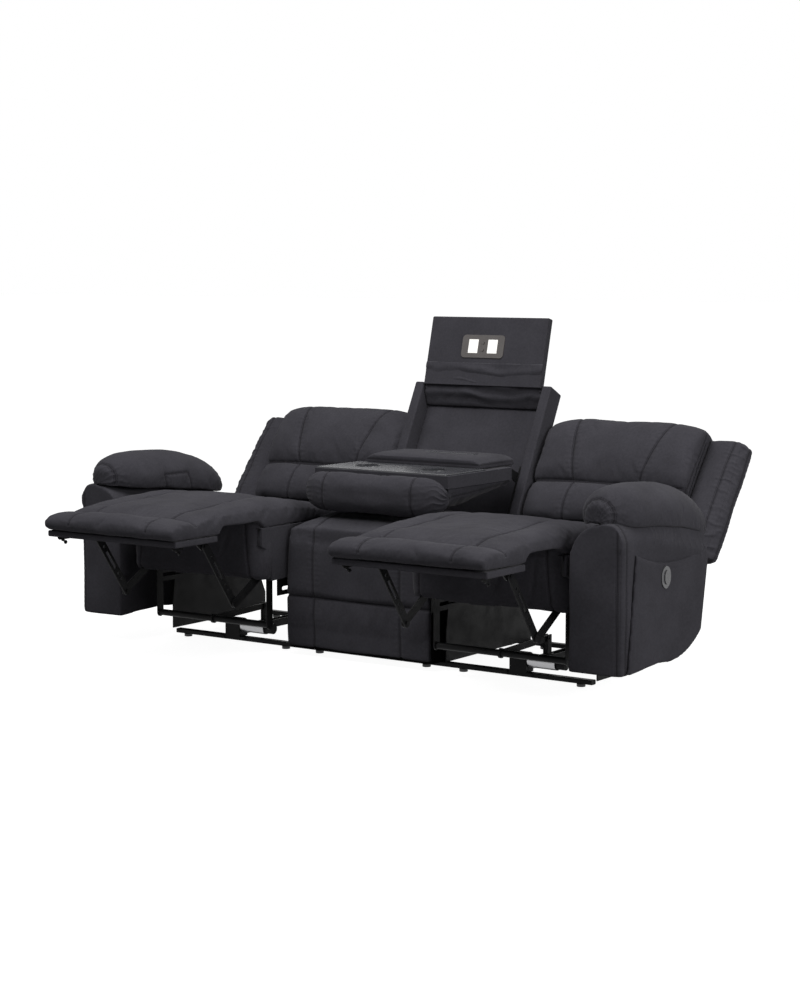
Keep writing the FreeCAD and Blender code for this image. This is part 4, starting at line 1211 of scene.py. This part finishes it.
def seat_front_cover():
    low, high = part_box("right_seat_frame")
    piece = add_piece("right_seat_front", outline_form(front_outline, low.x - 0.0015, high.x + 0.0015), cover)
    remesh(piece, 0.0065)
    relax(piece, 5)
    finer(piece)
    points = points_of(piece)
    far = np.abs(points[:, 0] - seat_middle) / seat_half
    forward = np.clip((front_board - points[:, 1]) / front_depth, 0.0, 1.0)
    points[:, 1] += corner_set_back * forward * np.clip((far - 0.76) / 0.24, 0.0, 1.0) ** 3
    set_points(piece, points)

    def corner(side):
        def seam(points, normals):
            line = seat_middle + side * (0.232 - (points[:, 2] - 0.36) * 0.10)
            return points[:, 0] - line, points[:, 2], normals[:, 1] < 0.3
        return seam

    sew(piece, [corner(-1), corner(1)], depth=0.0035)
    folds = [(0.10, 0.45, 0.03, 0.30, 0.010, 0.004), (-0.16, 0.44, -0.12, 0.33, 0.009, 0.0035),
             (0.19, 0.43, 0.17, 0.29, 0.008, 0.003)]
    crease(piece, [((seat_middle + x0, front_face_y, z0), (seat_middle + x1, front_face_y, z1), width, depth)
                   for x0, z0, x1, z1, width, depth in folds])
    return piece


seat_front = seat_front_cover()
left_front = mirror_piece(seat_front, "left_seat_front")
for side, piece, seed in (("right", seat_front, 101), ("left", left_front, 107)):
    undulate(piece, seed, 0.13, 0.0022)
    undulate(piece, seed + 1, 0.05, 0.0006)
    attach(piece, side + "_seat")
    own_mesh(piece)

# %% [markdown]
# The seat's side boards and deck are covered in the same cloth, drawn tight, because
# they show beside the seat when it is out. So is the board of the lamp flap.

# %% Seat boxes and flap
for side in sides:
    tight_cover(side + "_seat_box_cover", side + "_seat_frame", side + "_seat", 0.003)
tight_cover("flap_cover", "lamp_flap", "lamp_flap", 0.005)

# %% [markdown]
# Loose cloth joins the flap to the back below it, so that no gap shows at the hinge.
# It is gathered in soft cross folds. It starts as a grid that is bent along the line
# from the back's recess to the flap's face.

# %% Cloth over the flap's hinge
flap_lean = math.radians(14.0)
flap_axis = Vector((0.0, math.sin(flap_lean), math.cos(flap_lean)))
post_foot_y, post_foot_z = 0.392, 0.470
hinge_height, hinge_depth = 0.450, 0.022
pivot = Vector((0.0,
                post_foot_y + hinge_height * math.sin(post_lean) + hinge_depth * math.cos(post_lean),
                post_foot_z + hinge_height * math.cos(post_lean) - hinge_depth * math.sin(post_lean)))
post_axis = Vector((0.0, math.sin(post_lean), math.cos(post_lean)))
post_front = Vector((0.0, -math.cos(post_lean), math.sin(post_lean)))
flap_face = Vector((0.0, -flap_axis.z, flap_axis.y))
cloth_width, cloth_thickness = 0.484, 0.0012
fold_count = 3.4
fold_height, fold_change = 0.0060, 0.0020


def hinge_cloth():
    bm = bmesh.new()
    bmesh.ops.create_grid(bm, x_segments=150, y_segments=64, size=0.5)
    low_point = pivot - post_axis * 0.052 - post_front * 0.030
    top_point = pivot + flap_axis * 0.092 + flap_face * 0.0250
    bend = pivot + flap_axis * 0.004 + flap_face * 0.022
    for v in bm.verts:
        share = v.co.y + 0.5
        near = (1 - share) ** 2 * low_point + 2 * share * (1 - share) * bend + share ** 2 * top_point
        out = (flap_face * share + post_front * (1 - share)).normalized()
        x = v.co.x * cloth_width
        drift = 0.22 * math.sin(x * 9.0 + 0.6) + 0.10 * math.sin(x * 23.0)
        drift += 0.04 * math.sin(x * 51.0 + share * 5.0)
        sag = 0.5 + 0.5 * math.cos(2 * math.pi * (share * fold_count + drift))
        fade = math.sin(math.pi * min(1.0, max(0.0, share))) ** 0.5
        puff = 0.0006 + (fold_height + fold_change * math.sin(x * 17.0 + 2.0)) * (sag ** 1.4) * fade
        v.co = near + out * puff + Vector((x, 0.0, 0.0))
    cloth_area = sum(face.calc_area() for face in bm.faces)
    bmesh.ops.solidify(bm, geom=bm.faces[:] + bm.edges[:] + bm.verts[:], thickness=cloth_thickness)
    bmesh.ops.recalc_face_normals(bm, faces=bm.faces)
    return add_piece("flap_hinge_cloth", bm, plain_cover), cloth_area


hinge, cloth_area = hinge_cloth()
print("hinge cloth area:", round(cloth_area, 4), "cut length:", round(cloth_area / cloth_width, 3))
undulate(hinge, 121, 0.06, 0.0010)
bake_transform(hinge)

# %% [markdown]
# The light: a wide box above, one high in front, one on the right and a weak one
# behind on the left. The floor and the surroundings are white to the camera and in
# reflections, and light the sofa only a little.

# %% Floor and light
white = (1.0, 1.0, 1.0, 1.0)
floor_grey, floor_shown = 0.30, 0.95
world_light = 0.07


def soft_box(name, place, aim, size, power):
    data = bpy.data.lights.new(name, "AREA")
    data.shape = "RECTANGLE"
    data.size, data.size_y = size
    data.energy = power
    lamp = bpy.data.objects.new(name, data)
    lamp.location = place
    lamp.rotation_euler = (Vector(aim) - Vector(place)).to_track_quat("-Z", "Y").to_euler()
    bpy.context.scene.collection.objects.link(lamp)


soft_box("top_box", (0.2, -0.4, 3.6), (0.0, 0.0, 0.3), (4.5, 2.6), 80.0)
soft_box("front_box", (-0.5, -2.4, 4.1), (0.0, 0.0, 0.6), (3.6, 1.6), 80.0)
soft_box("back_box", (-3.2, 3.0, 1.9), (-0.1, 0.0, 0.5), (3.4, 2.0), 12.0)
soft_box("right_box", (4.5, -0.4, 1.9), (0.0, 0.0, 0.4), (2.4, 2.0), 80.0)

bm = bmesh.new()
bmesh.ops.create_grid(bm, x_segments=1, y_segments=1, size=60.0)
floor_material, floor_tree, floor_shader = new_material("floor", (floor_grey,) * 3, 0.9)
floor_shader.inputs["Emission Color"].default_value = white
seen = add_node(floor_tree, "ShaderNodeLightPath")
seen_direct = calculate(floor_tree, "MAXIMUM", seen.outputs["Is Camera Ray"], seen.outputs["Is Glossy Ray"])
floor_tree.links.new(remap(floor_tree, seen_direct, 0.0, 1.0, 0.0, floor_shown),
                     floor_shader.inputs["Emission Strength"])
floor = add_piece("floor", bm, floor_material)

world = bpy.data.worlds.new("surroundings")
bpy.context.scene.world = world
world.use_nodes = True
background = world.node_tree.nodes["Background"]
path = add_node(world.node_tree, "ShaderNodeLightPath")
shown = calculate(world.node_tree, "MAXIMUM", path.outputs["Is Camera Ray"],
                  calculate(world.node_tree, "MAXIMUM", path.outputs["Is Glossy Ray"],
                            path.outputs["Is Transmission Ray"]))
world.node_tree.links.new(remap(world.node_tree, shown, 0.0, 1.0, world_light, 1.0),
                          background.inputs["Strength"])
background.inputs["Color"].default_value = white
